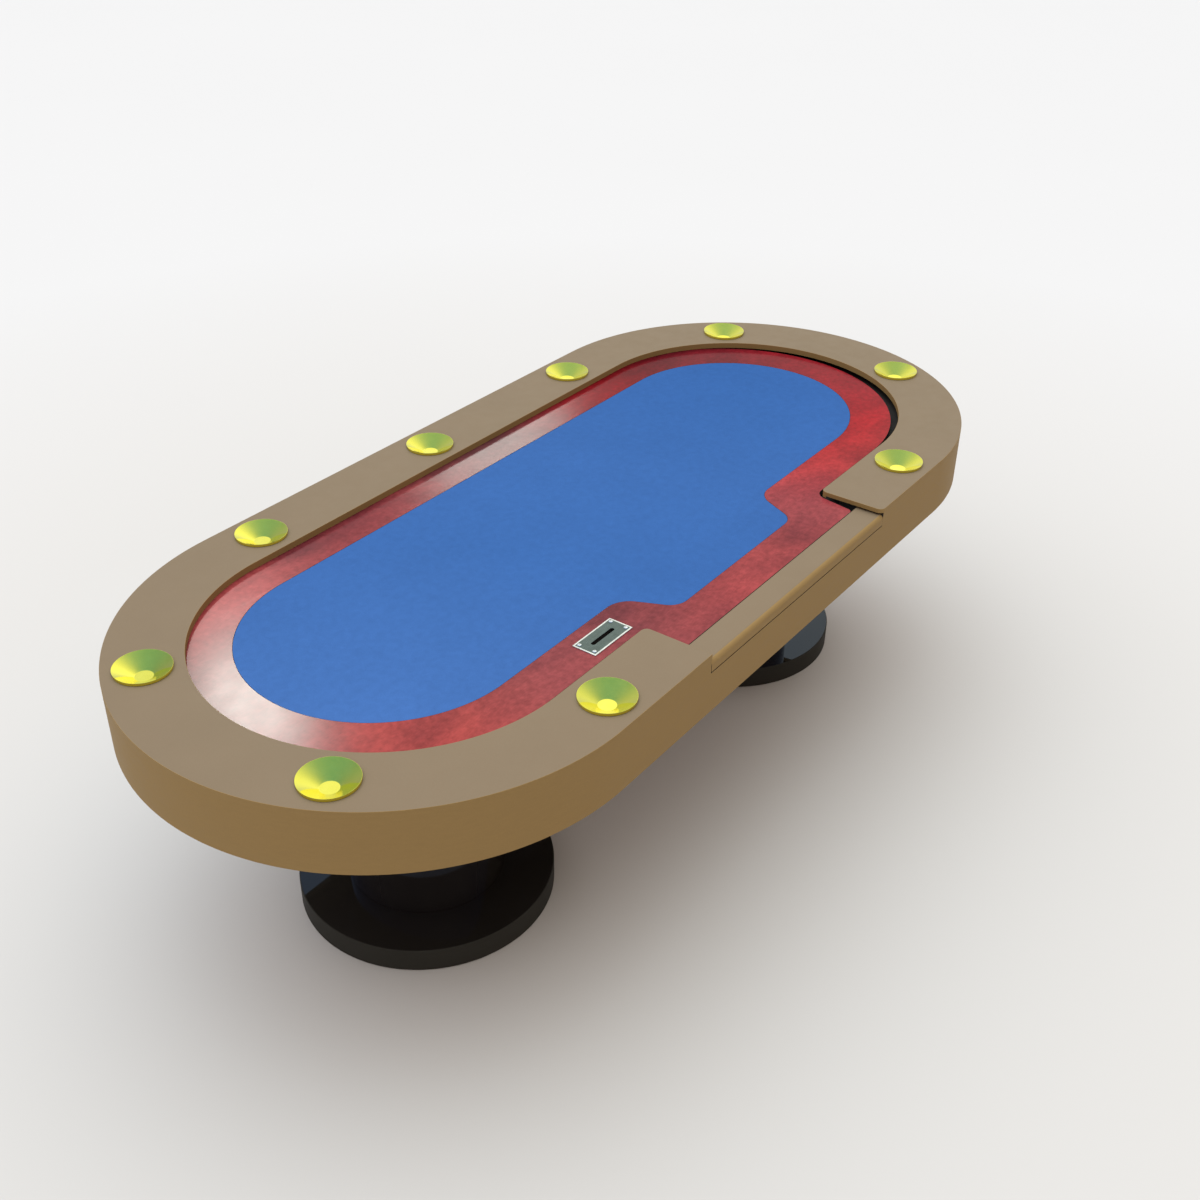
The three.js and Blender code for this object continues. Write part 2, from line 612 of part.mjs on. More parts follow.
function buildBeams() {
  const half = CROSS_BEAM.width / 2;
  Object.entries(CROSS_BEAM_X).forEach(([place, distance]) => {
    [['left', -1], ['right', 1]].forEach(([side, sign]) => {
      const x = sign * distance;
      const reach = place === 'end' ? END_BEAM_HALF_LENGTH : HALF_WIDTH - APRON_WALL - GAP;
      const beam = block([x - half, x + half], [-reach, reach], [CROSS_BOTTOM_Z, CROSS_TOP_Z]);
      add(`cross_beam_${place}_${side}`, beam, materials.plywood);
    });
  });
  const bolts = Object.values(PEDESTAL_X).flatMap((x) => [x - BOLT_SPREAD.x, x + BOLT_SPREAD.x]);
  [['front', -1], ['back', 1]].forEach(([side, sign]) => {
    const y = sign * LONG_BEAM.y;
    const holes = bolts.map((x) => circle(x, y, BOLT_HOLE_R, SCREW_STEPS));
    const outline = rectangle(0, y, 2 * LONG_BEAM.halfLength, LONG_BEAM.width);
    add(`long_beam_${side}`, board(outline, holes, LONG_BOTTOM_Z, LONG_TOP_Z), materials.plywood);
  });
}

function buildPedestal(side, x) {
  const pedestal = new THREE.Group();
  pedestal.position.x = x;
  table.add(pedestal);
  const { inner, outer, height, stand } = FOOT_RING;
  const groove = height + GAP;
  const base = [
    [0, stand],
    [inner - GAP, stand],
    [inner - GAP, groove],
    [outer + GAP, groove],
    [outer + GAP, stand],
    [BASE_R - BASE_BEVEL, stand],
    [BASE_R, stand + BASE_BEVEL],
    [BASE_R, BASE_TOP_Z - BASE_BEVEL],
    [BASE_R - BASE_BEVEL, BASE_TOP_Z],
    [0, BASE_TOP_Z],
  ];
  add(`base_disc_${side}`, turned(base, DRUM_STEPS), materials.blackLacquer, pedestal);
  const ring = board(circle(0, 0, outer, DRUM_STEPS), [circle(0, 0, inner, DRUM_STEPS)], 0, height);
  add(`foot_ring_${side}`, ring, materials.rubber, pedestal);
  const bore = COLUMN_R - COLUMN_WALL;
  const column = board(
    circle(0, 0, COLUMN_R, DRUM_STEPS),
    [circle(0, 0, bore, DRUM_STEPS)],
    COLUMN_BOTTOM_Z,
    COLUMN_TOP_Z,
  );
  add(`column_${side}`, column, materials.blackLacquer, pedestal);
  const cleatOutline = circle(0, 0, bore - GAP, DRUM_STEPS / 2);
  const cleat = board(cleatOutline, [], COLUMN_BOTTOM_Z, COLUMN_BOTTOM_Z + CLEAT_THICK);
  add(`column_cleat_${side}`, cleat, materials.plywood, pedestal);

  const places = [[-1, -1], [1, -1], [1, 1], [-1, 1]];
  const bolts = places.map(([i, j]) => [i * BOLT_SPREAD.x, j * BOLT_SPREAD.y]);
  const holes = bolts.map(([bx, by]) => circle(bx, by, BOLT_HOLE_R, SCREW_STEPS));
  const plate = board(
    rectangle(0, 0, 2 * PLATE_HALF.x, 2 * PLATE_HALF.y),
    holes,
    PLATE_BOTTOM_Z,
    PLATE_TOP_Z,
  );
  add(`top_plate_${side}`, plate, materials.blackPaint, pedestal);
  const headTop = PLATE_BOTTOM_Z - GAP;
  bolts.forEach(([bx, by], i) => {
    const head = board(circle(bx, by, BOLT_HEAD_R, BOLT_SIDES), [], headTop - BOLT_HEAD, headTop);
    const end = LONG_TOP_Z - BOLT_TOP_COVER;
    const shank = board(circle(bx, by, BOLT_R, SCREW_STEPS), [], headTop - BOLT_HEAD / 2, end);
    add(`plate_bolt_${side}_${i + 1}`, geometryOf(joined(head, shank)), materials.steel, pedestal);
  });
}

buildRail();
buildRailFrame();
buildApron();
buildArmrest();
buildSurface();
buildCups();
buildSlotPlate();
buildChute();
buildRunners();
buildCashBox();
buildBeams();
Object.entries(PEDESTAL_X).forEach(([side, x]) => buildPedestal(side, x));

export default table;
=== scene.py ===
"""Looks for the oval poker table: smooth replacements for the visible pieces, procedural materials,
a pale floor with painted shade around the table, soft light and the camera. Lengths are in millimetres
up to new_piece()."""

import math

import bmesh
import bpy
from mathutils import Euler, Matrix, Vector
from mathutils.geometry import tessellate_polygon


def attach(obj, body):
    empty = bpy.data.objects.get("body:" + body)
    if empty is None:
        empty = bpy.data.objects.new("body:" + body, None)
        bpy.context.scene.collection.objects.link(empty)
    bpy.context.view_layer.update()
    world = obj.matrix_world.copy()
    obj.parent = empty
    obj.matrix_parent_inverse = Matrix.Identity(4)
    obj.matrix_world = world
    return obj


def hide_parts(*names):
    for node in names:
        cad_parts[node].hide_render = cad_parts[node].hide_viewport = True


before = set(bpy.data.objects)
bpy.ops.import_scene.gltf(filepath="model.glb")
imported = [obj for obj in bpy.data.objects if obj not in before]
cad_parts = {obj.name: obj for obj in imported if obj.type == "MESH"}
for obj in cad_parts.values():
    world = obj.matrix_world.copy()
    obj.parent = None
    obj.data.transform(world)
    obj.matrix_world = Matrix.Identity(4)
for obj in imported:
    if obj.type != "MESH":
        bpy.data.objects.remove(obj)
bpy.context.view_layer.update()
MM = 0.001

# ---- Dimensions, the same as in the CAD ----
GAP = 0.3
LENGTH, WIDTH = 2440, 1118
HALF_WIDTH = WIDTH / 2
HALF_STRAIGHT = LENGTH / 2 - HALF_WIDTH
RAIL_TOP_Z = 706
RAIL_WIDTH = 158
RAIL_BOARD = 10
RAIL_BOTTOM_Z = RAIL_TOP_Z - RAIL_BOARD
RAIL_LIP = {"thick": 2.4, "clear": 0.4}
APRON_BOTTOM_Z = 566
APRON_WALL = 18
SURFACE_Z = 691
CUTOUT_LEFT, CUTOUT_RIGHT = -366, 352
RAIL_CORNER_R = 14
ARMREST_WIDTH = 66
ARMREST_TOP_Z, ARMREST_BOTTOM_Z = 690, 663
ARMREST_EDGE_R = 11
ARMREST_RIGHT = 360
ARMREST_SEAM = 1.6
SEAM = 0.02  # between the rail board and the apron, which look like one piece
SURFACE_X, SURFACE_Y = -12.5, 13.5
SURFACE_HALF_STRAIGHT = 657
FELT_END_R = 298
FELT_REVEAL = 0.4
RACETRACK_WIDTH = 104
RACETRACK_BOTTOM_Z = 673
CLOTH_THICK = 1.5
FOAM_THICK = 5
FELT_TONGUE = {"bottom_y": -400, "half_bottom": 201, "corner": 45, "fillet": 60, "slope": 65}
RACETRACK_TONGUE = {"bottom_y": -492.5, "half_bottom": 337, "corner": 12, "fillet": 30, "slope": 80}
CUP_RIM_R = 57.2
CUP_RIM_RISE = 6.5
CUP_BOTTOM_R = 18.2
CUP_DEPTH = 22.7
CUP_WALL = 2
CUP_HOLE_R = 50.6
CUP_CENTRE_R = HALF_WIDTH - RAIL_WIDTH / 2
PEDESTAL_X = {"left": -615, "right": 649}
BASE_R, BASE_TOP_Z = 283.5, 57.7
COLUMN_R, COLUMN_WALL = 173, 12
COLUMN_BOTTOM_Z, COLUMN_TOP_Z = 58, 576.8
FOOT_RING = {"inner": 250, "outer": 270, "height": 6, "stand": 2}
SLOT_X, SLOT_Y = -427.5, -342
SLOT_PLATE = {"length": 125, "width": 57, "thick": 1.7, "border": 4}
SLOT = {"length": 72, "width": 9}
SLOT_OPENING = {"length": 79, "width": 11}
SCREW_INSET = 10
SCREW_R = 1.8
SCREW_HEAD_R = 4.4
SCREW_HEAD = 1.6
SCREW_LENGTH = 14

# ---- Small shapes that the CAD leaves square or simpler ----
EDGES = {
    "rail": 0.6,
    "surface": 0.4,
    "foam": 1.5,
    "armrest": 0.8,
    "slot_plate": 0.5,
    "slot_plate_corner": 1.5,
    "slot_opening_corner": 1,
    "base": 2,
    "column": 0.8,
}
DISH_RIM = {"width": 0.6, "edge": 0.3, "foot": 0.4, "ridge": 0.06, "slope": 0.4}
DISH_BOTTOM = {"out": 0.5, "up": 0.25, "ring": 0.04, "in": 0.6}
SCREW_TIP = {"radius": 0.3, "point": 1, "taper": 3}
SCREW_DOME = {"rim": 0.4, "in": 0.5, "rise": 0.62, "crown_in": 1.4, "crown": 0.9}
SCREW_RECESS = {"radius": 0.48, "wall": 0.9, "depth": 1.0, "waist": 0.4, "sharpness": 6}
ARMREST_STATION = 40

# ---- How finely curves are drawn ----
END_STEPS = 96
CORNER_STEPS = 16
CUP_STEPS = 128
DRUM_STEPS = 192
SCREW_STEPS = 32
EDGE_STEPS = 3
SMOOTH_ANGLE = math.radians(35)
UPWARDS = 0.97  # the least height of a normal that counts as a top face


# ---- Outlines, as lists of 2-D points that run anticlockwise ----
def arc(x, y, r, start, end, steps):
    angles = [math.radians(start + (end - start) * i / steps) for i in range(steps + 1)]
    return [Vector((x + r * math.cos(a), y + r * math.sin(a))) for a in angles]


def circle(x, y, r, steps):
    return arc(x, y, r, 0, 360, steps)[:-1]


def rounded_rectangle(x, y, length, width, r):
    along, across = length / 2 - r, width / 2 - r
    corners = [(-1, -1, 180), (1, -1, 270), (1, 1, 0), (-1, 1, 90)]
    return [
        point
        for i, j, start in corners
        for point in arc(x + i * along, y + j * across, r, start, start + 90, CORNER_STEPS)
    ]


def rounded_slot(x, y, length, width):
    r = width / 2
    reach = length / 2 - r
    right = arc(x + reach, y, r, -90, 90, CORNER_STEPS)
    left = arc(x - reach, y, r, 90, 270, CORNER_STEPS)
    return right + left


def rail_inner_edge():
    """From the left side of the gap round to its right side."""
    inner, r = HALF_WIDTH - RAIL_WIDTH, RAIL_CORNER_R
    return [
        Vector((CUTOUT_LEFT, -HALF_WIDTH)),
        *arc(CUTOUT_LEFT - r, -inner - r, r, 0, 90, CORNER_STEPS),
        *arc(-HALF_STRAIGHT, 0, inner, 270, 90, END_STEPS),
        *arc(HALF_STRAIGHT, 0, inner, 90, -90, END_STEPS),
        *arc(CUTOUT_RIGHT + r, -inner - r, r, 90, 180, CORNER_STEPS),
    ]


def open_rail():
    """The rail's outline, with a gap on the dealer's side."""
    outer, r = HALF_WIDTH, RAIL_CORNER_R
    return [
        *rail_inner_edge(),
        *arc(CUTOUT_RIGHT + r, -outer + r, r, 180, 270, CORNER_STEPS),
        *arc(HALF_STRAIGHT, 0, outer, -90, 90, END_STEPS),
        *arc(-HALF_STRAIGHT, 0, outer, 90, 270, END_STEPS),
    ]


def tongue(shape, edge_y):
    """One side of the dealer's tongue after the other: fillet, slope and rounded corner."""
    corner, fillet, slope = shape["corner"], shape["fillet"], shape["slope"]
    lean = math.radians(slope)
    drop = edge_y - shape["bottom_y"] - (fillet + corner) * (1 - math.cos(lean))
    run = (fillet + corner) * math.sin(lean) + drop / math.tan(lean)
    left = SURFACE_X - shape["half_bottom"]
    right = SURFACE_X + shape["half_bottom"]
    low = shape["bottom_y"] + corner
    return [
        *arc(left - run, edge_y - fillet, fillet, 90, 90 - slope, CORNER_STEPS),
        *arc(left, low, corner, 270 - slope, 270, CORNER_STEPS),
        *arc(right, low, corner, 270, 270 + slope, CORNER_STEPS),
        *arc(right + run, edge_y - fillet, fillet, 90 + slope, 90, CORNER_STEPS),
    ]


def surface_outline(end_r, shape):
    right = arc(SURFACE_X + SURFACE_HALF_STRAIGHT, SURFACE_Y, end_r, -90, 90, END_STEPS)
    left = arc(SURFACE_X - SURFACE_HALF_STRAIGHT, SURFACE_Y, end_r, 90, 270, END_STEPS)
    return right + left + tongue(shape, SURFACE_Y - end_r)


def felt_outline(margin):
    shape = {
        **FELT_TONGUE,
        "bottom_y": FELT_TONGUE["bottom_y"] - margin,
        "corner": FELT_TONGUE["corner"] + margin,
        "fillet": FELT_TONGUE["fillet"] - margin,
    }
    return surface_outline(FELT_END_R + margin, shape)


def without_repeats(loop):
    """The loop without points that lie on the one before."""
    return [p for i, p in enumerate(loop) if (p - loop[i - 1]).length > 1e-3]


def moved_in(loop, distance):
    """A loop moved to its left by a distance, which is into the material."""
    moved = []
    for i, here in enumerate(loop):
        to_here = (here - loop[i - 1]).normalized()
        onwards = (loop[(i + 1) % len(loop)] - here).normalized()
        bisector = Vector((-to_here.y - onwards.y, to_here.x + onwards.x))
        moved.append(here + bisector * (2 * distance / bisector.length_squared))
    return moved


# ---- Pieces ----
def new_piece(name, vertices, faces, materials, body, cad_nodes, origin=(0, 0, 0)):
    mesh = bpy.data.meshes.new(name)
    mesh.from_pydata([Vector(v) * MM for v in vertices], [], faces)
    for material in materials:
        mesh.materials.append(material)
    build = bmesh.new()
    build.from_mesh(mesh)
    bmesh.ops.recalc_face_normals(build, faces=build.faces)
    build.to_mesh(mesh)
    build.free()
    mesh.shade_smooth()
    mesh.set_sharp_from_angle(angle=SMOOTH_ANGLE)
    piece = bpy.data.objects.new(name, mesh)
    bpy.context.scene.collection.objects.link(piece)
    piece.location = Vector(origin) * MM
    weighted = piece.modifiers.new("even_normals", "WEIGHTED_NORMAL")
    weighted.keep_sharp = True
    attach(piece, body)
    if cad_nodes:
        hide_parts(*cad_nodes)
    return piece


def edge_levels(bottom, top, edge, sharp_below):
    """How far in and how high each loop of a board lies, from the bottom face to the top face."""
    steps = [math.radians(90 * i / EDGE_STEPS) for i in range(EDGE_STEPS + 1)]
    low = [(edge * (1 - math.sin(a)), bottom + edge * (1 - math.cos(a))) for a in steps]
    high = [(inset, bottom + top - z) for inset, z in reversed(low)]
    return ([(0, bottom)] if sharp_below else low) + high


def board(name, outline, holes, bottom, top, edge, materials, body, cad_nodes, sharp_below=False):
    """A flat board with holes and finely rounded edges. The second material is for its edges."""
    loops = [without_repeats(outline)] + [without_repeats(hole)[::-1] for hole in holes]
    levels = edge_levels(bottom, top, edge, sharp_below)
    vertices, faces, starts = [], [], []
    caps = {0: [], len(levels) - 1: []}
    for loop in loops:
        starts.append(len(vertices))
        for k, (inset, z) in enumerate(levels):
            points = moved_in(loop, inset) if inset else loop
            if k in caps:
                caps[k].append([Vector((p.x, p.y, z)) for p in points])
            vertices += [(p.x, p.y, z) for p in points]
        count = len(loop)
        for k in range(len(levels) - 1):
            base = starts[-1] + k * count
            for i in range(count):
                j = (i + 1) % count
                faces.append((base + i, base + j, base + count + j, base + count + i))
    sides = len(faces)
    for k, polygons in caps.items():
        places = [
            starts[number] + k * len(loop) + i
            for number, loop in enumerate(loops)
            for i in range(len(loop))
        ]
        faces += [tuple(places[i] for i in triangle) for triangle in tessellate_polygon(polygons)]
    piece = new_piece(name, vertices, faces, materials, body, cad_nodes)
    if len(materials) > 1:
        for polygon in piece.data.polygons:
            polygon.material_index = 1 if polygon.index < sides else 0
    return piece


def turned(name, profile, steps, origin, materials, body, cad_nodes, recess=None):
    """A turned piece about the vertical axis. A profile that starts and ends on the axis is a
    solid of revolution, and any other profile is closed into a ring. recess(r, angle) reshapes
    small radii."""
    solid = profile[0][0] == 0
    rings = profile[1:-1] if solid else profile
    vertices, faces = [], []
    for r, z in rings:
        for i in range(steps):
            angle = 2 * math.pi * i / steps
            reach = recess(r, angle) if recess else r
            vertices.append((reach * math.cos(angle), reach * math.sin(angle), z))
    count = len(rings)
    for k in range(count - 1 if solid else count):
        low, high = k * steps, (k + 1) % count * steps
        for i in range(steps):
            j = (i + 1) % steps
            faces.append((low + i, low + j, high + j, high + i))
    if solid:
        for ring, (_, z) in ((0, profile[0]), (count - 1, profile[-1])):
            middle = len(vertices)
            vertices.append((0, 0, z))
            base = ring * steps
            faces += [(base + i, base + (i + 1) % steps, middle) for i in range(steps)]
    return new_piece(name, vertices, faces, materials, body, cad_nodes, origin)


def rounded_corner(r, z, radius, start):
    """A quarter turn of a profile, about the point (r, z)."""
    angles = [math.radians(start + 90 * i / EDGE_STEPS) for i in range(EDGE_STEPS + 1)]
    return [(r + radius * math.cos(a), z + radius * math.sin(a)) for a in angles]


# ---- Procedural materials ----
class Look:
    """A Principled material under construction."""

    def __init__(self, name, color, roughness, **settings):
        self.material = bpy.data.materials.new(name)
        self.material.use_nodes = True
        self.tree = self.material.node_tree
        self.shader = self.tree.nodes["Principled BSDF"]
        self.set("Base Color", (*color, 1))
        self.set("Roughness", roughness)
        for label, value in settings.items():
            self.set(label.replace("_", " "), value)
        self.place = self.tree.nodes.new("ShaderNodeTexCoord").outputs["Object"]

    def set(self, label, value):
        self.shader.inputs[label].default_value = value

    def link(self, source, target):
        self.tree.links.new(source, target)

    def stretched(self, stretch):
        node = self.tree.nodes.new("ShaderNodeMapping")
        node.inputs["Scale"].default_value = stretch
        self.link(self.place, node.inputs["Vector"])
        return node.outputs["Vector"]

    def noise(self, scale, detail=4.0, stretch=None, distortion=0.0, roughness=0.5):
        node = self.tree.nodes.new("ShaderNodeTexNoise")
        self.link(self.stretched(stretch) if stretch else self.place, node.inputs["Vector"])
        node.inputs["Scale"].default_value = scale
        node.inputs["Detail"].default_value = detail
        node.inputs["Distortion"].default_value = distortion
        node.inputs["Roughness"].default_value = roughness
        return node.outputs["Fac"]

    def cells(self, scale):
        node = self.tree.nodes.new("ShaderNodeTexVoronoi")
        self.link(self.place, node.inputs["Vector"])
        node.inputs["Scale"].default_value = scale
        return node.outputs["Distance"]

    def wave(self, scale, direction, kind="BANDS", distortion=0.0):
        node = self.tree.nodes.new("ShaderNodeTexWave")
        node.wave_type = kind
        setattr(node, "rings_direction" if kind == "RINGS" else "bands_direction", direction)
        self.link(self.place, node.inputs["Vector"])
        node.inputs["Scale"].default_value = scale
        node.inputs["Distortion"].default_value = distortion
        return node.outputs["Fac"]

    def colors(self, factor, *stops):
        """A ramp between colours at given places from 0 to 1."""
        node = self.tree.nodes.new("ShaderNodeValToRGB")
        ramp = node.color_ramp
        while len(ramp.elements) < len(stops):
            ramp.elements.new(0.5)
        for element, (place, color) in zip(ramp.elements, stops):
            element.position = place
            element.color = (*color, 1)
        self.link(factor, node.inputs["Fac"])
        return node.outputs["Color"]

    def levels(self, factor, low, high, start=0.3, end=0.7):
        """A number from low to high, as the factor goes from start to end."""
        node = self.tree.nodes.new("ShaderNodeMapRange")
        for label, value in (
            ("From Min", start),
            ("From Max", end),
            ("To Min", low),
            ("To Max", high),
        ):
            node.inputs[label].default_value = value
        self.link(factor, node.inputs["Value"])
        return node.outputs["Result"]

    def multiplied(self, color, factor):
        """A colour times a number."""
        node = self.tree.nodes.new("ShaderNodeMix")
        node.data_type = "RGBA"
        node.blend_type = "MULTIPLY"
        node.inputs["Factor"].default_value = 1
        self.link(color, node.inputs["A"])
        self.link(factor, node.inputs["B"])
        return node.outputs["Result"]

    def tinted_near(self, color, point, tint, start, end):
        """The colour times a tint, which fades out between two distances in metres from a point."""
        node = self.tree.nodes.new("ShaderNodeVectorMath")
        node.operation = "DISTANCE"
        self.link(self.place, node.inputs[0])
        node.inputs[1].default_value = point
        fade = self.levels(node.outputs["Value"], 0, 1, start, end)
        return self.multiplied(color, self.colors(fade, (0, tint), (1, (1, 1, 1))))

    def border(self, x, y, length, width, band):
        """1 in a band along the edge of a rectangle, and 0 inside it. Lengths are in mm."""
        split = self.tree.nodes.new("ShaderNodeSeparateXYZ")
        self.link(self.place, split.inputs["Vector"])
        outside = []
        for axis, middle, size in (("X", x, length), ("Y", y, width)):
            node = self.tree.nodes.new("ShaderNodeMath")
            node.operation = "SUBTRACT"
            self.link(split.outputs[axis], node.inputs[0])
            node.inputs[1].default_value = middle * MM
            reach = self.tree.nodes.new("ShaderNodeMath")
            reach.operation = "ABSOLUTE"
            self.link(node.outputs["Value"], reach.inputs[0])
            edge = size / 2 - band
            outside.append(self.levels(reach.outputs["Value"], 0, 1, edge * MM, (edge + 1) * MM))
        either = self.tree.nodes.new("ShaderNodeMath")
        either.operation = "MAXIMUM"
        self.link(outside[0], either.inputs[0])
        self.link(outside[1], either.inputs[1])
        return either.outputs["Value"]

    def paint(self, color):
        self.link(color, self.shader.inputs["Base Color"])

    def gloss(self, roughness):
        self.link(roughness, self.shader.inputs["Roughness"])

    def relief(self, height, strength, distance):
        """Bump, added on top of what is there. Distance is in metres."""
        node = self.tree.nodes.new("ShaderNodeBump")
        node.inputs["Strength"].default_value = strength
        node.inputs["Distance"].default_value = distance
        self.link(height, node.inputs["Height"])
        target = self.shader.inputs["Normal"]
        if target.is_linked:
            self.link(target.links[0].from_socket, node.inputs["Normal"])
        self.link(node.outputs["Normal"], target)


def shade(color, factor):
    return tuple(channel * factor for channel in color)


def mottled(look, color, spread, scale, fine_scale, fine_spread):
    """Paints a colour with broad soft patches and a fine speckle."""
    patches = look.noise(scale, detail=5)
    base = look.colors(patches, (0.3, shade(color, 1 - spread)), (0.7, shade(color, 1 + spread)))
    speckle = look.noise(fine_scale, detail=2)
    look.paint(look.multiplied(base, look.levels(speckle, 1 - fine_spread, 1 + fine_spread)))
    return speckle


def laminate(name, color, roughness):
    look = Look(name, color, roughness, Specular_IOR_Level=0.1)
    speckle = mottled(look, color, 0.02, 7, 700, 0.04)
    look.gloss(look.levels(look.noise(30), roughness - 0.06, roughness + 0.06))
    look.relief(speckle, 0.12, 0.0002)
    return look.material


def edge_band(name, color):
    look = Look(name, color, 0.55, Specular_IOR_Level=0.08)
    streaks = look.noise(40, detail=6, stretch=(1, 1, 4))
    base = look.colors(streaks, (0.25, shade(color, 0.97)), (0.75, shade(color, 1.03)))
    speckle = look.noise(900, detail=2)
    look.paint(look.multiplied(base, look.levels(speckle, 0.95, 1.05)))
    look.gloss(look.levels(streaks, 0.5, 0.6))
    look.relief(speckle, 0.1, 0.0002)
    return look.material


# Where the racetrack's red is deeper or brighter, partly the lacquer's own uneven tone and partly
# painted highlight and shade: the red is paled under the two glare highlights so that they look white,
# and whitened on the dealer's side as a painted highlight. A point, its tint and how far the tint
# reaches.
TRACK_TONE_AND_PAINTED_LIGHT = {
    "right_end": ((0.85, 0.05), (0.75, 0.2, 0.32), 0.35, 0.75),
    "right_end_back": ((0.87, 0.29), (0.6, 0.8, 0.85), 0.1, 0.3),
    "right_end_dealer": ((0.65, -0.34), (1.35, 1, 0.93), 0.15, 0.35),
    "back_right": ((0.5, 0.37), (0.95, 0.4, 0.5), 0.1, 0.35),
    "back_middle": ((0.08, 0.37), (0.5, 0.9, 0.9), 0.05, 0.4),
    "left_end": ((-1.0, 0.1), (0.6, 0.9, 0.85), 0.1, 0.28),
    "left_end_dealer": ((-0.88, -0.26), (1.25, 1.15, 1), 0.1, 0.3),
    "back_left": ((-0.4, 0.37), (0.75, 0.72, 0.78), 0.05, 0.25),
    "dealer_left": ((-0.5, -0.35), (0.78, 1, 1.03), 0.15, 0.4),
    "dealer_right": ((0.37, -0.36), (1.3, 1.35, 1.4), 0.05, 0.25),
}


def mahogany_lacquer():
    dark, light = (0.125, 0.023, 0.028), (0.275, 0.046, 0.048)
    level = SURFACE_Z * MM
    look = Look("racetrack_lacquer", light, 0.17, Specular_IOR_Level=0.035)
    figure = look.noise(5, detail=8, stretch=(0.6, 1, 1), distortion=0.4, roughness=0.6)
    base = look.colors(figure, (0.3, dark), (0.62, light))
    # Each tint is partly the lacquer's own tone and partly painted highlight and shade.
    for (x, y), tint, start, end in TRACK_TONE_AND_PAINTED_LIGHT.values():
        base = look.tinted_near(base, (x, y, level), tint, start, end)
    mottle = look.noise(75, detail=6, distortion=0.3)
    base = look.multiplied(base, look.levels(mottle, 0.82, 1.15))
    pores = look.noise(420, detail=3, stretch=(0.2, 1, 1))
    look.paint(look.multiplied(base, look.levels(pores, 0.9, 1.07)))
    look.gloss(look.levels(look.noise(20), 0.16, 0.18))
    return look.material


# The same for the felt: painted sheen at the left end, under the end glare, and painted shade at the
# right end.
FELT_PAINTED_LIGHT = {
    "left_end": ((-1.0, -0.2), (1.4, 1.18, 1.12), 0.1, 0.75),
    "right_end": ((0.95, 0.25), (0.75, 0.88, 0.92), 0.1, 0.8),
}


def gaming_felt():
    color = (0.033, 0.109, 0.32)
    look = Look("felt", color, 0.92, Specular_IOR_Level=0.05)
    broad = look.noise(5, detail=6)
    base = look.colors(broad, (0.3, shade(color, 0.96)), (0.7, shade(color, 1.035)))
    blotches = look.noise(55, detail=5, distortion=0.4)
    nap = look.noise(1400, detail=3)
    level = SURFACE_Z * MM
    # Painted sheen brightens the felt's left end, and painted shade dims its right end.
    for (x, y), tint, start, end in FELT_PAINTED_LIGHT.values():
        base = look.tinted_near(base, (x, y, level), tint, start, end)
    tinted = look.multiplied(base, look.levels(blotches, 0.95, 1.05))
    look.paint(look.multiplied(tinted, look.levels(nap, 0.88, 1.12)))
    look.set("Sheen Weight", 0.08)
    look.set("Sheen Roughness", 0.5)
    look.set("Sheen Tint", (0.5, 0.65, 1, 1))
    look.relief(blotches, 0.08, 0.0006)
    look.relief(nap, 0.35, 0.0004)
    return look.material


def spun_brass():
    look = Look("brass", (0.94, 0.85, 0.125), 0.08, Metallic=1)
    tone = look.noise(35, detail=4)
    look.paint(look.colors(tone, (0.3, (0.91, 0.82, 0.115)), (0.7, (0.96, 0.87, 0.135))))
    look.gloss(look.levels(look.noise(260, detail=5), 0.06, 0.12))
    look.relief(look.wave(140, "Z", kind="RINGS", distortion=0.6), 0.02, 0.0001)
    return look.material


def brushed_steel(name, color, roughness, stretch):
    look = Look(name, color, roughness, Metallic=0.85)
    lines = look.noise(420, detail=4, stretch=stretch)
    base = look.colors(lines, (0.25, shade(color, 0.82)), (0.75, shade(color, 1.15)))
    look.paint(look.multiplied(base, look.levels(look.noise(60), 0.85, 1.1)))
    look.gloss(look.levels(lines, roughness - 0.08, roughness + 0.08))
    look.relief(lines, 0.08, 0.0002)
    return look.material


def slot_steel():
    """Dark brushed steel with a bright band along its edge, a painted highlight where the edge catches
    the light.
    """
    dark, bright = (0.11, 0.14, 0.13), (0.75, 0.76, 0.72)
    look = Look("slot_steel", dark, 0.4, Metallic=0.85)
    plate = SLOT_PLATE
    # Painted highlight: a bright band round the plate's edge.
    border = look.border(SLOT_X, SLOT_Y, plate["length"], plate["width"], plate["border"])
    lines = look.noise(420, detail=4, stretch=(0.1, 1, 1))
    tones = look.colors(border, (0, dark), (1, bright))
    base = look.multiplied(tones, look.levels(lines, 0.85, 1.1))
    look.paint(look.multiplied(base, look.levels(look.noise(90, detail=4), 0.85, 1.1)))
    look.gloss(look.levels(lines, 0.3, 0.42))
    look.relief(lines, 0.08, 0.0002)
    return look.material


def zinc_steel():
    color = (0.45, 0.46, 0.46)
    look = Look("zinc_steel", color, 0.38, Metallic=0.9)
    spangle = look.cells(120)
    base = look.colors(spangle, (0.1, shade(color, 0.8)), (0.6, shade(color, 1.2)))
    look.paint(look.multiplied(base, look.levels(look.noise(300), 0.92, 1.05)))
    look.gloss(look.levels(spangle, 0.3, 0.48, 0.1, 0.6))
    look.relief(look.noise(500), 0.05, 0.0002)
    return look.material


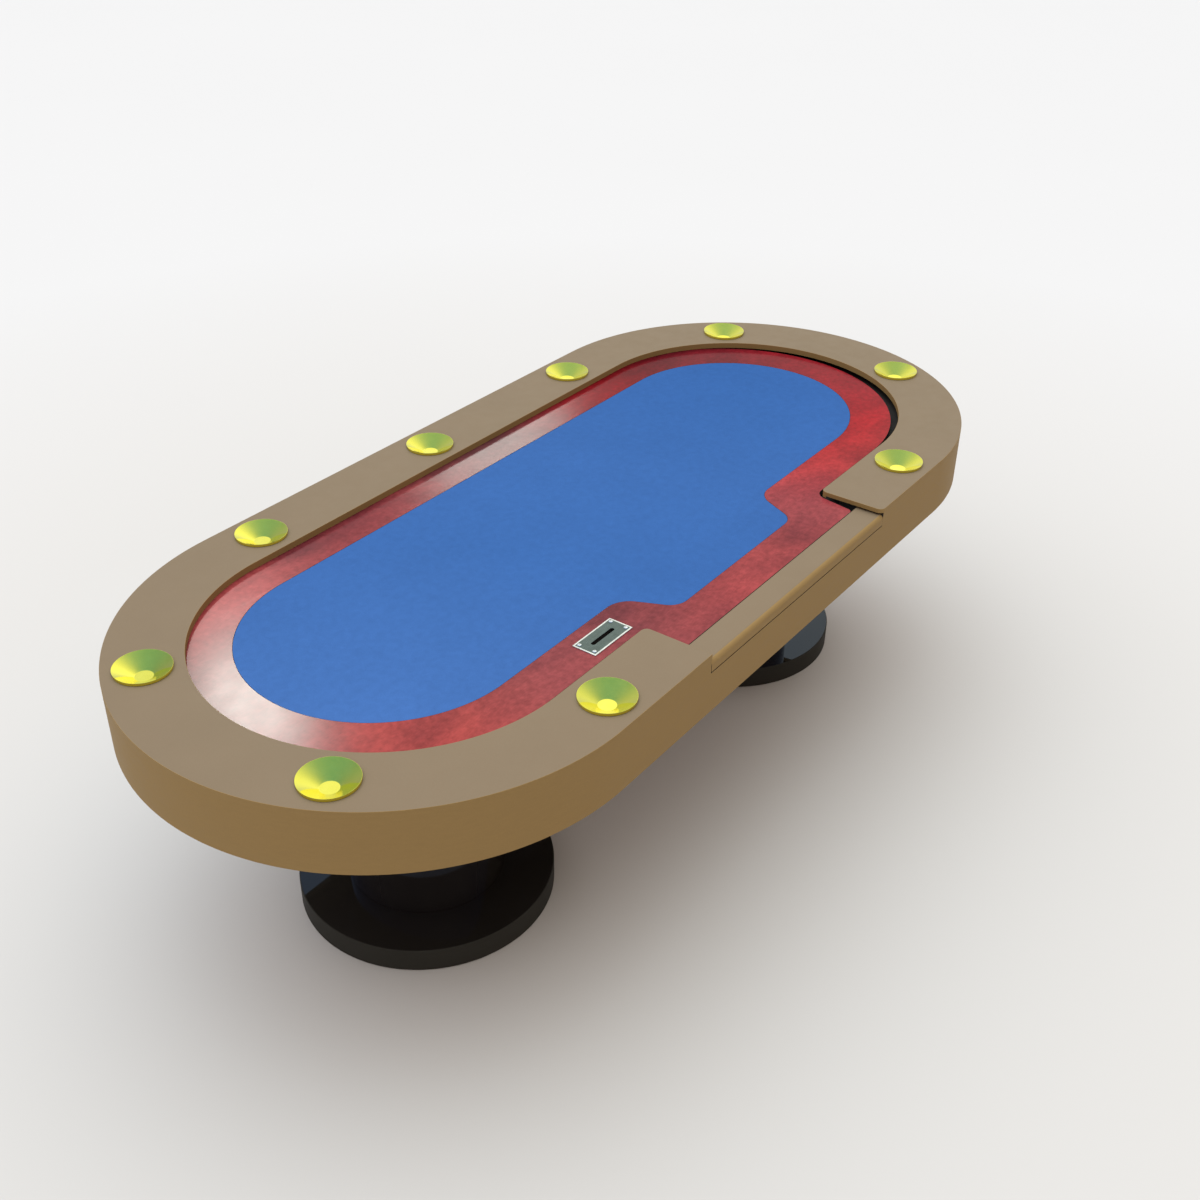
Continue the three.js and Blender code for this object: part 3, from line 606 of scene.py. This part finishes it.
def gloss_black():
    color = (0.017, 0.015, 0.013)
    look = Look("black_lacquer", color, 0.02, Specular_IOR_Level=0.35)
    # The blue specular tint paints the sky's blue into the lacquer's reflections: a painted reflection
    # colour.
    look.set("Specular Tint", (0.2, 0.41, 0.86, 1))
    haze = look.noise(9, detail=6)
    look.paint(look.colors(haze, (0.3, shade(color, 0.9)), (0.7, shade(color, 1.1))))
    look.gloss(look.levels(look.noise(50, detail=4), 0.015, 0.03))
    return look.material


def satin_black():
    color = (0.037, 0.036, 0.031)
    look = Look("base_edge", color, 0.5, Specular_IOR_Level=0.04)
    grain = mottled(look, color, 0.04, 12, 700, 0.05)
    look.gloss(look.levels(grain, 0.45, 0.55))
    return look.material


def black_paint():
    color = (0.02, 0.021, 0.023)
    look = Look("black_paint", color, 0.5)
    grain = mottled(look, color, 0.12, 14, 900, 0.12)
    look.gloss(look.levels(grain, 0.4, 0.6))
    look.relief(grain, 0.25, 0.0003)
    return look.material


def dark_board():
    color = (0.022, 0.019, 0.017)
    look = Look("dark_board", color, 0.8, Specular_IOR_Level=0.2)
    fibres = mottled(look, color, 0.1, 20, 600, 0.15)
    look.relief(fibres, 0.2, 0.0003)
    return look.material


def lipped_board():
    """Dark board whose top edge has the apron's colour."""
    low, high = (0.022, 0.021, 0.022), (0.19, 0.13, 0.07)
    look = Look("lipped_board", low, 0.8, Specular_IOR_Level=0.2)
    split = look.tree.nodes.new("ShaderNodeSeparateXYZ")
    look.link(look.place, split.inputs["Vector"])
    lip = (SURFACE_Z - 1) * MM
    base = look.colors(look.levels(split.outputs["Z"], 0, 1, lip, lip + MM), (0, low), (1, high))
    fibres = look.noise(600, detail=2)
    look.paint(look.multiplied(base, look.levels(fibres, 0.85, 1.15)))
    look.relief(fibres, 0.2, 0.0003)
    return look.material


def plywood():
    light, dark = (0.09, 0.064, 0.038), (0.05, 0.034, 0.02)
    look = Look("plywood", light, 0.7, Specular_IOR_Level=0.25)
    grain = look.noise(38, detail=8, stretch=(0.08, 1, 1), distortion=0.5)
    base = look.colors(grain, (0.3, dark), (0.6, light))
    plies = look.wave(180, "Z", distortion=0.4)
    look.paint(look.multiplied(base, look.levels(plies, 0.8, 1.05, 0, 1)))
    look.gloss(look.levels(grain, 0.62, 0.8))
    look.relief(grain, 0.15, 0.0004)
    return look.material


def cellular_foam():
    color = (0.62, 0.59, 0.5)
    look = Look("foam", color, 0.95, Specular_IOR_Level=0.1)
    bubbles = look.cells(900)
    look.paint(look.colors(bubbles, (0.0, shade(color, 0.7)), (0.6, color)))
    look.relief(bubbles, 0.4, 0.0006)
    return look.material


def rubber():
    color = (0.015, 0.015, 0.015)
    look = Look("rubber", color, 0.85, Specular_IOR_Level=0.25)
    grain = mottled(look, color, 0.15, 30, 800, 0.15)
    look.relief(grain, 0.3, 0.0003)
    return look.material


# The rail's top and its sides are one material: the top's paler, greyer colour is painted sheen from
# the sky, and the sides keep the plain brown.
rail_top_sheen_look = laminate("rail_laminate", (0.208, 0.157, 0.101), 0.5)
edge_look = edge_band("apron_laminate", (0.283, 0.185, 0.0735))
racetrack_look = mahogany_lacquer()
felt_look = gaming_felt()
brass_look = spun_brass()
steel_look = slot_steel()
bright_steel_look = brushed_steel("bright_steel", (0.9, 0.9, 0.86), 0.3, (1, 1, 1))
zinc_look = zinc_steel()
lacquer_look = gloss_black()
base_edge_look = satin_black()
black_look = black_paint()
board_look = dark_board()
frame_look = lipped_board()
plywood_look = plywood()
foam_look = cellular_foam()
rubber_look = rubber()



# ---- Rail, apron and armrest ----
def cup_place(x, turn):
    angle = math.radians(turn)
    return x + CUP_CENTRE_R * math.cos(angle), CUP_CENTRE_R * math.sin(angle)


CUPS = {
    name: cup_place(x, turn)
    for name, x, turn in (
        ("end_left_back", -HALF_STRAIGHT, 145),
        ("end_left_front", -HALF_STRAIGHT, 210),
        ("end_right_back", HALF_STRAIGHT, 38),
        ("end_right_front", HALF_STRAIGHT, -28.5),
        ("back_left", -569, 90),
        ("back_middle", -20, 90),
        ("back_right", 534, 90),
        ("dealer_left", -602, -90),
        ("dealer_right", 593, -90),
    )
}


def build_rail():
    holes = [circle(x, y, CUP_HOLE_R, CUP_STEPS) for x, y in CUPS.values()]
    # The board's top carries the painted sheen, and its edges the plain brown.
    looks = [rail_top_sheen_look, edge_look]
    bottom = RAIL_BOTTOM_Z - GAP + SEAM
    rail = board(
        "rail_board",
        open_rail(),
        holes,
        bottom,
        RAIL_TOP_Z,
        EDGES["rail"],
        looks,
        "table",
        ["rail_top"],
        True,
    )


def build_rail_lip():
    """The rail's edge band hangs a little below the board, down to the playing surface."""
    outside = rail_inner_edge()
    inside = moved_in(open_rail(), RAIL_LIP["thick"])[: len(outside)]
    heights = (SURFACE_Z + RAIL_LIP["clear"], RAIL_BOTTOM_Z - GAP)
    vertices = [(p.x, p.y, z) for path in (outside, inside) for z in heights for p in path]
    count = len(outside)
    out_low, out_high, in_low, in_high = (count * k for k in range(4))
    corners = (out_low, out_high, in_high, in_low)
    faces = [corners]
    for i in range(count - 1):
        for low, high in zip(corners, corners[1:] + corners[:1]):
            faces.append((low + i, low + i + 1, high + i + 1, high + i))
    faces.append(tuple(corner + count - 1 for corner in corners))
    lip = new_piece("rail_lip", vertices, faces, [edge_look], "table", ["rail_top"])


def build_apron():
    """A wall that follows the oval, lower where the armrest board lies in its notch."""
    outer_r, inner_r = HALF_WIDTH, HALF_WIDTH - APRON_WALL
    high = RAIL_BOTTOM_Z - GAP
    low = ARMREST_BOTTOM_Z - ARMREST_SEAM
    notch = (CUTOUT_LEFT - ARMREST_SEAM, ARMREST_RIGHT + GAP)

    def oval(r):
        right = arc(HALF_STRAIGHT, 0, r, -90, 90, END_STEPS)
        left = arc(-HALF_STRAIGHT, 0, r, 90, 270, END_STEPS)
        return right + left

    outer, inner = oval(outer_r), oval(inner_r)
    for x in notch:
        outer.append(Vector((x, -outer_r)))
        inner.append(Vector((x, -inner_r)))
    stations = len(outer)
    left_step, right_step = stations - 2, stations - 1
    vertices = []
    for z in (APRON_BOTTOM_Z, high):
        vertices += [(p.x, p.y, z) for p in outer + inner]
    lows = {}
    for number in (left_step, right_step):
        lows[number] = (len(vertices), len(vertices) + 1)
        vertices.append((outer[number].x, outer[number].y, low))
        vertices.append((inner[number].x, inner[number].y, low))

    def corners(number):
        """Places of the outer and inner bottom and top vertices at a station."""
        return number, stations + number, 2 * stations + number, 3 * stations + number

    faces = []
    for i in range(stations):
        j = (i + 1) % stations
        out0, in0, out_top0, in_top0 = corners(i)
        out1, in1, out_top1, in_top1 = corners(j)
        faces.append((in0, in1, out1, out0))
        if i == left_step:
            faces.append((out0, out1, lows[j][0], lows[i][0]))
            faces.append((in1, in0, lows[i][1], lows[j][1]))
            faces.append((lows[i][0], lows[j][0], lows[j][1], lows[i][1]))
            continue
        outer_wall, inner_wall = [out0, out1], [in1, in0]
        if j == left_step:
            outer_wall.append(lows[j][0])
            inner_wall = [lows[j][1], in1, in0]
        outer_wall += [out_top1, out_top0]
        inner_wall += [in_top0, in_top1]
        if i == right_step:
            outer_wall.append(lows[i][0])
            inner_wall.insert(2, lows[i][1])
        faces += [tuple(outer_wall), tuple(inner_wall), (out_top0, out_top1, in_top1, in_top0)]
    notch_faces = {frozenset(lows[left_step] + lows[right_step])}
    for number in (left_step, right_step):
        _, _, out_top, in_top = corners(number)
        faces.append((lows[number][0], lows[number][1], in_top, out_top))
        notch_faces.add(frozenset(faces[-1]))
    apron = new_piece("apron_wall", vertices, faces, [edge_look, board_look], "table", ["apron"])
    for polygon in apron.data.polygons:
        polygon.material_index = 1 if frozenset(polygon.vertices) in notch_faces else 0


def build_armrest():
    outer, inner = -HALF_WIDTH, -HALF_WIDTH + ARMREST_WIDTH
    edge, r = EDGES["armrest"], ARMREST_EDGE_R
    low_corner = rounded_corner(outer + edge, ARMREST_BOTTOM_Z + edge, edge, 180)
    section = [
        *[Vector(point) for point in reversed(low_corner)],
        *arc(outer + r, ARMREST_TOP_Z - r, r, 180, 90, CORNER_STEPS),
        Vector((inner, ARMREST_TOP_Z)),
        Vector((inner, ARMREST_BOTTOM_Z)),
    ]
    section = without_repeats(section)
    between = range(CUTOUT_LEFT + ARMREST_STATION, ARMREST_RIGHT, ARMREST_STATION)
    stations = [CUTOUT_LEFT, *between, ARMREST_RIGHT]
    vertices = [(x, p.x, p.y) for x in stations for p in section]
    count = len(section)
    faces = []
    for k in range(len(stations) - 1):
        here, there = k * count, (k + 1) * count
        for i in range(count):
            j = (i + 1) % count
            faces.append((here + i, here + j, there + j, there + i))
    faces.append(tuple(range(count)))
    faces.append(tuple(range(len(vertices) - count, len(vertices))))
    # The armrest's top carries the rail's painted sheen, and its rounded edge and sides the plain
    # brown.
    looks = [rail_top_sheen_look, edge_look, board_look]
    armrest = new_piece("armrest_board", vertices, faces, looks, "table", ["dealer_armrest"])
    for polygon in armrest.data.polygons:
        normal = polygon.normal
        hidden = normal.z < -UPWARDS or normal.y > UPWARDS or abs(normal.x) > UPWARDS
        polygon.material_index = 2 if hidden else 0 if normal.z > UPWARDS else 1


# ---- Playing surface ----
SCREW_PLACES = [
    (
        SLOT_X + i * (SLOT_PLATE["length"] / 2 - SCREW_INSET),
        SLOT_Y + j * (SLOT_PLATE["width"] / 2 - SCREW_INSET),
    )
    for i, j in ((-1, -1), (1, -1), (1, 1), (-1, 1))
]


def build_surface():
    pilots = [circle(x, y, SCREW_R + GAP, SCREW_STEPS) for x, y in SCREW_PLACES]
    length, width = SLOT_OPENING["length"], SLOT_OPENING["width"]
    opening = rounded_rectangle(SLOT_X, SLOT_Y, length, width, EDGES["slot_opening_corner"])
    track_outline = surface_outline(FELT_END_R + RACETRACK_WIDTH, RACETRACK_TONGUE)
    track = board(
        "racetrack_ring",
        track_outline,
        [felt_outline(FELT_REVEAL), opening, *pilots],
        RACETRACK_BOTTOM_Z,
        SURFACE_Z,
        EDGES["surface"],
        [racetrack_look, board_look],
        "table",
        ["racetrack"],
    )

    cloth_bottom = SURFACE_Z - CLOTH_THICK
    cloth = board(
        "felt_sheet",
        felt_outline(0),
        [],
        cloth_bottom,
        SURFACE_Z,
        EDGES["surface"],
        [felt_look],
        "table",
        ["felt_cloth"],
    )
    foam_top = cloth_bottom - GAP
    foam = board(
        "foam_pad",
        felt_outline(-1),
        [],
        foam_top - FOAM_THICK,
        foam_top,
        EDGES["foam"],
        [foam_look],
        "table",
        ["foam_underlay"],
    )


# ---- Brass dishes ----
def dish_profile():
    bottom = CUP_RIM_RISE - CUP_DEPTH
    lip_r = CUP_RIM_R - DISH_RIM["width"]
    spread = (lip_r - CUP_BOTTOM_R) / CUP_DEPTH
    skew = CUP_WALL * math.hypot(1, spread)
    inner_at_rail = lip_r - CUP_RIM_RISE * spread
    edge, foot, slope = DISH_RIM["edge"], DISH_RIM["foot"], DISH_RIM["slope"]
    return [
        (0, bottom - CUP_WALL),
        (CUP_BOTTOM_R - CUP_WALL * spread + skew, bottom - CUP_WALL),
        (inner_at_rail + skew, 0),
        (inner_at_rail + skew, GAP),
        (CUP_RIM_R - foot, GAP),
        (CUP_RIM_R, GAP + foot),
        *rounded_corner(CUP_RIM_R - edge, CUP_RIM_RISE - edge, edge, 0),
        (lip_r, CUP_RIM_RISE - DISH_RIM["ridge"]),
        (lip_r - slope, CUP_RIM_RISE - slope),
        (CUP_BOTTOM_R + DISH_BOTTOM["out"], bottom + DISH_BOTTOM["up"]),
        (CUP_BOTTOM_R, bottom + DISH_BOTTOM["ring"]),
        (CUP_BOTTOM_R - DISH_BOTTOM["in"], bottom),
        (0, bottom),
    ]


def build_cups():
    for name, (x, y) in CUPS.items():
        dish = turned(
            f"dish_{name}",
            dish_profile(),
            CUP_STEPS,
            (x, y, RAIL_TOP_Z),
            [brass_look],
            f"cup_{name}",
            [f"cup_holder_{name}"],
        )


# ---- Slot plate ----
def cross_recess(r, angle):
    """Four wings around the middle of a screw head, out of a circle of small radius."""
    if r > SCREW_HEAD_R / 2:
        return r
    waist, sharpness = SCREW_RECESS["waist"], SCREW_RECESS["sharpness"]
    return r * (waist + (1 - waist) * abs(math.cos(2 * angle)) ** sharpness)


def build_slot_plate():
    bottom = SURFACE_Z + GAP
    top = bottom + SLOT_PLATE["thick"]
    holes = [circle(x, y, SCREW_R + GAP, SCREW_STEPS) for x, y in SCREW_PLACES]
    holes.append(rounded_slot(SLOT_X, SLOT_Y, SLOT["length"], SLOT["width"]))
    length, width = SLOT_PLATE["length"], SLOT_PLATE["width"]
    outline = rounded_rectangle(SLOT_X, SLOT_Y, length, width, EDGES["slot_plate_corner"])
    plate = board(
        "drop_slot_plate",
        outline,
        holes,
        bottom,
        top,
        EDGES["slot_plate"],
        [steel_look],
        "table",
        ["slot_plate"],
        True,
    )

    head_top = GAP + SCREW_HEAD
    head = [
        (0, -SCREW_LENGTH),
        (SCREW_R * SCREW_TIP["radius"], SCREW_TIP["point"] - SCREW_LENGTH),
        (SCREW_R, SCREW_TIP["taper"] - SCREW_LENGTH),
        (SCREW_R, GAP),
        (SCREW_HEAD_R, GAP),
        (SCREW_HEAD_R, GAP + SCREW_DOME["rim"]),
        (SCREW_HEAD_R - SCREW_DOME["in"], GAP + SCREW_HEAD * SCREW_DOME["rise"]),
        (SCREW_HEAD_R - SCREW_DOME["crown_in"], GAP + SCREW_HEAD * SCREW_DOME["crown"]),
        (SCREW_HEAD_R / 2, head_top),
        (SCREW_HEAD_R * SCREW_RECESS["radius"], head_top - SCREW_RECESS["wall"]),
        (0, head_top - SCREW_RECESS["depth"]),
    ]
    for i, (x, y) in enumerate(SCREW_PLACES, start=1):
        screw = turned(
            f"plate_screw_{i}",
            head,
            SCREW_STEPS,
            (x, y, top),
            [bright_steel_look],
            "table",
            [f"slot_plate_screw_{i}"],
            recess=cross_recess,
        )


# ---- Pedestals ----
def build_pedestal(side, x):
    inner, outer = FOOT_RING["inner"] - GAP, FOOT_RING["outer"] + GAP
    groove = FOOT_RING["height"] + GAP
    low, edge = FOOT_RING["stand"], EDGES["base"]
    base_profile = [
        (0, low),
        (inner, low),
        (inner, groove),
        (outer, groove),
        (outer, low),
        *rounded_corner(BASE_R - edge, low + edge, edge, 270),
        *rounded_corner(BASE_R - edge, BASE_TOP_Z - edge, edge, 0),
        (0, BASE_TOP_Z),
    ]
    base = turned(
        f"base_{side}",
        base_profile,
        DRUM_STEPS,
        (x, 0, 0),
        [lacquer_look, base_edge_look],
        "table",
        [f"base_disc_{side}"],
    )
    for polygon in base.data.polygons:
        polygon.material_index = 1 if polygon.normal.z < UPWARDS else 0
    bore, edge = COLUMN_R - COLUMN_WALL, EDGES["column"]
    drum_profile = [
        *rounded_corner(COLUMN_R - edge, COLUMN_BOTTOM_Z + edge, edge, 270),
        *rounded_corner(COLUMN_R - edge, COLUMN_TOP_Z - edge, edge, 0),
        (bore, COLUMN_TOP_Z),
        (bore, COLUMN_BOTTOM_Z),
    ]
    drum = turned(
        f"drum_{side}",
        drum_profile,
        DRUM_STEPS,
        (x, 0, 0),
        [lacquer_look],
        "table",
        [f"column_{side}"],
    )


# ---- CAD pieces that keep their shape and get a finish ----
def dress(node, material, edge=0.5):
    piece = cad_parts[node]
    piece.data.materials.clear()
    piece.data.materials.append(material)
    bevel = piece.modifiers.new("soft_edges", "BEVEL")
    bevel.width = edge * MM
    bevel.segments = 2
    bevel.limit_method = "ANGLE"
    bevel.angle_limit = SMOOTH_ANGLE
    bevel.use_clamp_overlap = True


def dress_cad_pieces():
    sides = ("left", "right")
    dress("rail_frame", frame_look)
    dress("deck_board", board_look)
    for node in ("armrest_cleat", "playing_board", "long_beam_front", "long_beam_back"):
        dress(node, plywood_look)
    for side in sides:
        for place in ("end", "pedestal", "middle"):
            dress(f"cross_beam_{place}_{side}", plywood_look, edge=1)
        dress(f"column_cleat_{side}", plywood_look, edge=1)
        dress(f"top_plate_{side}", black_look, edge=1)
        dress(f"foot_ring_{side}", rubber_look)
        dress(f"cash_box_runner_{side}", zinc_look, edge=0.3)
        for number in range(1, 5):
            dress(f"plate_bolt_{side}_{number}", zinc_look, edge=0.4)
    dress("drop_chute", zinc_look, edge=0.2)
    for node in ("cash_box", "cash_box_door"):
        dress(node, black_look, edge=0.3)
    for node in ("cash_box_hinge_pin", "cash_box_lock", "cash_box_handle"):
        dress(node, zinc_look, edge=0.3)


# ---- Floor, light and camera ----
CAMERA_PLACE = (-2.3344, -1.7156, 2.2728)
CAMERA_TURN = (57.5406, -0.4905, -53.7722)  # degrees about X, Y and Z
CAMERA_LENS = 42.95
BACKDROP = (0.93, 0.93, 0.93)
SOFT_ZENITH, SOFT_FALLOFF = (2.55, 2.8, 2.92), (1.4, 1.74, 1.9)
SOFT_LEAN = {"azimuth": 100, "amounts": (0.3, 0.4, 0.52)}
SEEN_HORIZON, SEEN_ZENITH = (0.12, 0.18, 0.3), (0.1, 0.33, 0.72)
GLOW = {"azimuth": 26, "elevation": 34, "narrowness": 4.5, "color": (1.25, 1.3, 1.15)}
GLARE_DISTANCE, GLARE_COLOR = 9, (0.97, 1, 0.92)
GLARES = {
    "end_glare": {"x": -1.0, "y": 0.02, "azimuth": 52.9, "elevation": 36, "size": 0.9, "power": 290},
    "back_glare": {"x": 0.04, "y": 0.36, "azimuth": 40.3, "elevation": 26.2, "size": 1.3, "power": 75},
}
FLOOR_REACH, FLOOR_COLOR = 60, (0.62, 0.62, 0.62)
# Painted shade: the floor is darker and warmer near the table, fading out between start and end metres
# from the middle.
FLOOR_PAINTED_SHADE = {"color": (0.932, 0.915, 0.888), "start": 1.7, "end": 4}


def build_floor():
    reach = FLOOR_REACH
    mesh = bpy.data.meshes.new("floor")
    corners = [(-reach, -reach, 0), (reach, -reach, 0), (reach, reach, 0), (-reach, reach, 0)]
    mesh.from_pydata(corners, [], [(0, 1, 2, 3)])
    look = Look("floor", FLOOR_COLOR, 0.9, Specular_IOR_Level=0.1)
    patches = look.noise(0.6, detail=3)
    base = look.colors(patches, (0.3, shade(FLOOR_COLOR, 0.995)), (0.7, FLOOR_COLOR))
    # The floor's colour is painted darker towards the table, a painted shade.
    start, end = FLOOR_PAINTED_SHADE["start"], FLOOR_PAINTED_SHADE["end"]
    look.paint(look.tinted_near(base, (0, 0, 0), FLOOR_PAINTED_SHADE["color"], start, end))
    mesh.materials.append(look.material)
    floor = bpy.data.objects.new("floor", mesh)
    bpy.context.scene.collection.objects.link(floor)


def direction_of(azimuth, elevation):
    a, e = math.radians(azimuth), math.radians(elevation)
    return Vector((math.cos(a) * math.cos(e), math.sin(a) * math.cos(e), math.sin(e)))


def build_world():
    """Soft overhead light. Glossy surfaces see a blue dome with a broad pale glow on one side,
    and the backdrop is plain white."""
    world = bpy.data.worlds.new("studio")
    world.use_nodes = True
    tree = world.node_tree
    tree.nodes.clear()
    direction = tree.nodes.new("ShaderNodeTexCoord").outputs["Generated"]
    split = tree.nodes.new("ShaderNodeSeparateXYZ")
    tree.links.new(direction, split.inputs["Vector"])

    def background(color, strength):
        node = tree.nodes.new("ShaderNodeBackground")
        node.inputs["Strength"].default_value = strength
        tree.links.new(color, node.inputs["Color"])
        return node.outputs["Background"]

    def calculated(operation, *values):
        """A number worked out from numbers and sockets."""
        node = tree.nodes.new("ShaderNodeMath")
        node.operation = operation
        for socket, value in zip(node.inputs, values):
            if isinstance(value, bpy.types.NodeSocket):
                tree.links.new(value, socket)
            else:
                socket.default_value = value
        return node.outputs["Value"]

    def along(azimuth, elevation):
        """How far the direction points towards another."""
        node = tree.nodes.new("ShaderNodeVectorMath")
        node.operation = "DOT_PRODUCT"
        tree.links.new(direction, node.inputs[0])
        node.inputs[1].default_value = direction_of(azimuth, elevation)
        return node.outputs["Value"]

    def mixed(factor, low, high):
        """A colour between two others. The lower one is a colour or a socket."""
        node = tree.nodes.new("ShaderNodeMix")
        node.data_type = "RGBA"
        if isinstance(low, tuple):
            node.inputs["A"].default_value = (*low, 1)
        else:
            tree.links.new(low, node.inputs["A"])
        node.inputs["B"].default_value = (*high, 1)
        tree.links.new(factor, node.inputs["Factor"])
        return node.outputs["Result"]

    def soft_dome():
        """Each channel is the zenith's, times a power of the height, so low light is dim and
        warm. It is brighter behind the table than in front."""
        height = calculated("MAXIMUM", split.outputs["Z"], 0)
        lean = along(SOFT_LEAN["azimuth"], 0)
        joined = tree.nodes.new("ShaderNodeCombineColor")
        channels = zip(joined.inputs, SOFT_ZENITH, SOFT_FALLOFF, SOFT_LEAN["amounts"])
        for socket, top, power, amount in channels:
            overhead = calculated("MULTIPLY", calculated("POWER", height, power), top)
            sideways = calculated("MULTIPLY_ADD", lean, amount, 1)
            tree.links.new(calculated("MULTIPLY", overhead, sideways), socket)
        return joined.outputs["Color"]

    def choice(label, otherwise, chosen):
        """One shader for rays of a kind, and another for the rest."""
        node = tree.nodes.new("ShaderNodeMixShader")
        tree.links.new(rays.outputs[label], node.inputs["Fac"])
        tree.links.new(otherwise, node.inputs[1])
        tree.links.new(chosen, node.inputs[2])
        return node.outputs["Shader"]

    narrowness = GLOW["narrowness"]
    towards = along(GLOW["azimuth"], GLOW["elevation"])
    falloff = calculated("MULTIPLY_ADD", towards, narrowness, -narrowness)
    sky = mixed(split.outputs["Z"], SEEN_HORIZON, SEEN_ZENITH)
    glow = mixed(calculated("EXPONENT", falloff), sky, GLOW["color"])

    rays = tree.nodes.new("ShaderNodeLightPath")
    soft = background(soft_dome(), 1)
    seen = background(glow, 1)
    white = tree.nodes.new("ShaderNodeBackground")
    white.inputs["Color"].default_value = (*BACKDROP, 1)
    surface = choice("Is Glossy Ray", soft, seen)
    surface = choice("Is Camera Ray", surface, white.outputs["Background"])
    output = tree.nodes.new("ShaderNodeOutputWorld")
    tree.links.new(surface, output.inputs["Surface"])
    bpy.context.scene.world = world


def glare(name, values, receivers):
    """A round light that only shines on the receivers, for a soft highlight on the surface."""
    target = (values["x"], values["y"], SURFACE_Z * MM)
    towards = direction_of(values["azimuth"], values["elevation"])
    light = bpy.data.lights.new(name, "AREA")
    light.shape = "DISK"
    light.size = values["size"]
    light.color = GLARE_COLOR
    light.energy = values["power"]
    lamp = bpy.data.objects.new(name, light)
    bpy.context.scene.collection.objects.link(lamp)
    lamp.location = Vector(target) + towards * GLARE_DISTANCE
    lamp.rotation_mode = "QUATERNION"
    lamp.rotation_quaternion = towards.to_track_quat("Z", "Y")
    lamp.light_linking.receiver_collection = receivers


def build_lights():
    receivers = bpy.data.collections.new("lacquered")
    receivers.objects.link(bpy.data.objects["racetrack_ring"])
    for name, values in GLARES.items():
        glare(name, values, receivers)


def build_camera():
    camera = bpy.data.cameras.new("camera")
    camera.sensor_width = 36
    camera.lens = CAMERA_LENS
    camera.clip_start = 0.01
    camera.clip_end = 300
    holder = bpy.data.objects.new("camera", camera)
    bpy.context.scene.collection.objects.link(holder)
    turn = Euler([math.radians(angle) for angle in CAMERA_TURN])
    holder.matrix_world = Matrix.LocRotScale(CAMERA_PLACE, turn, None)
    bpy.context.scene.camera = holder


build_camera()
build_rail()
build_rail_lip()
build_apron()
build_armrest()
build_surface()
build_cups()
build_slot_plate()
for side, x in PEDESTAL_X.items():
    build_pedestal(side, x)
dress_cad_pieces()
build_floor()
build_world()
build_lights()
bpy.context.scene.view_settings.view_transform = "Standard"
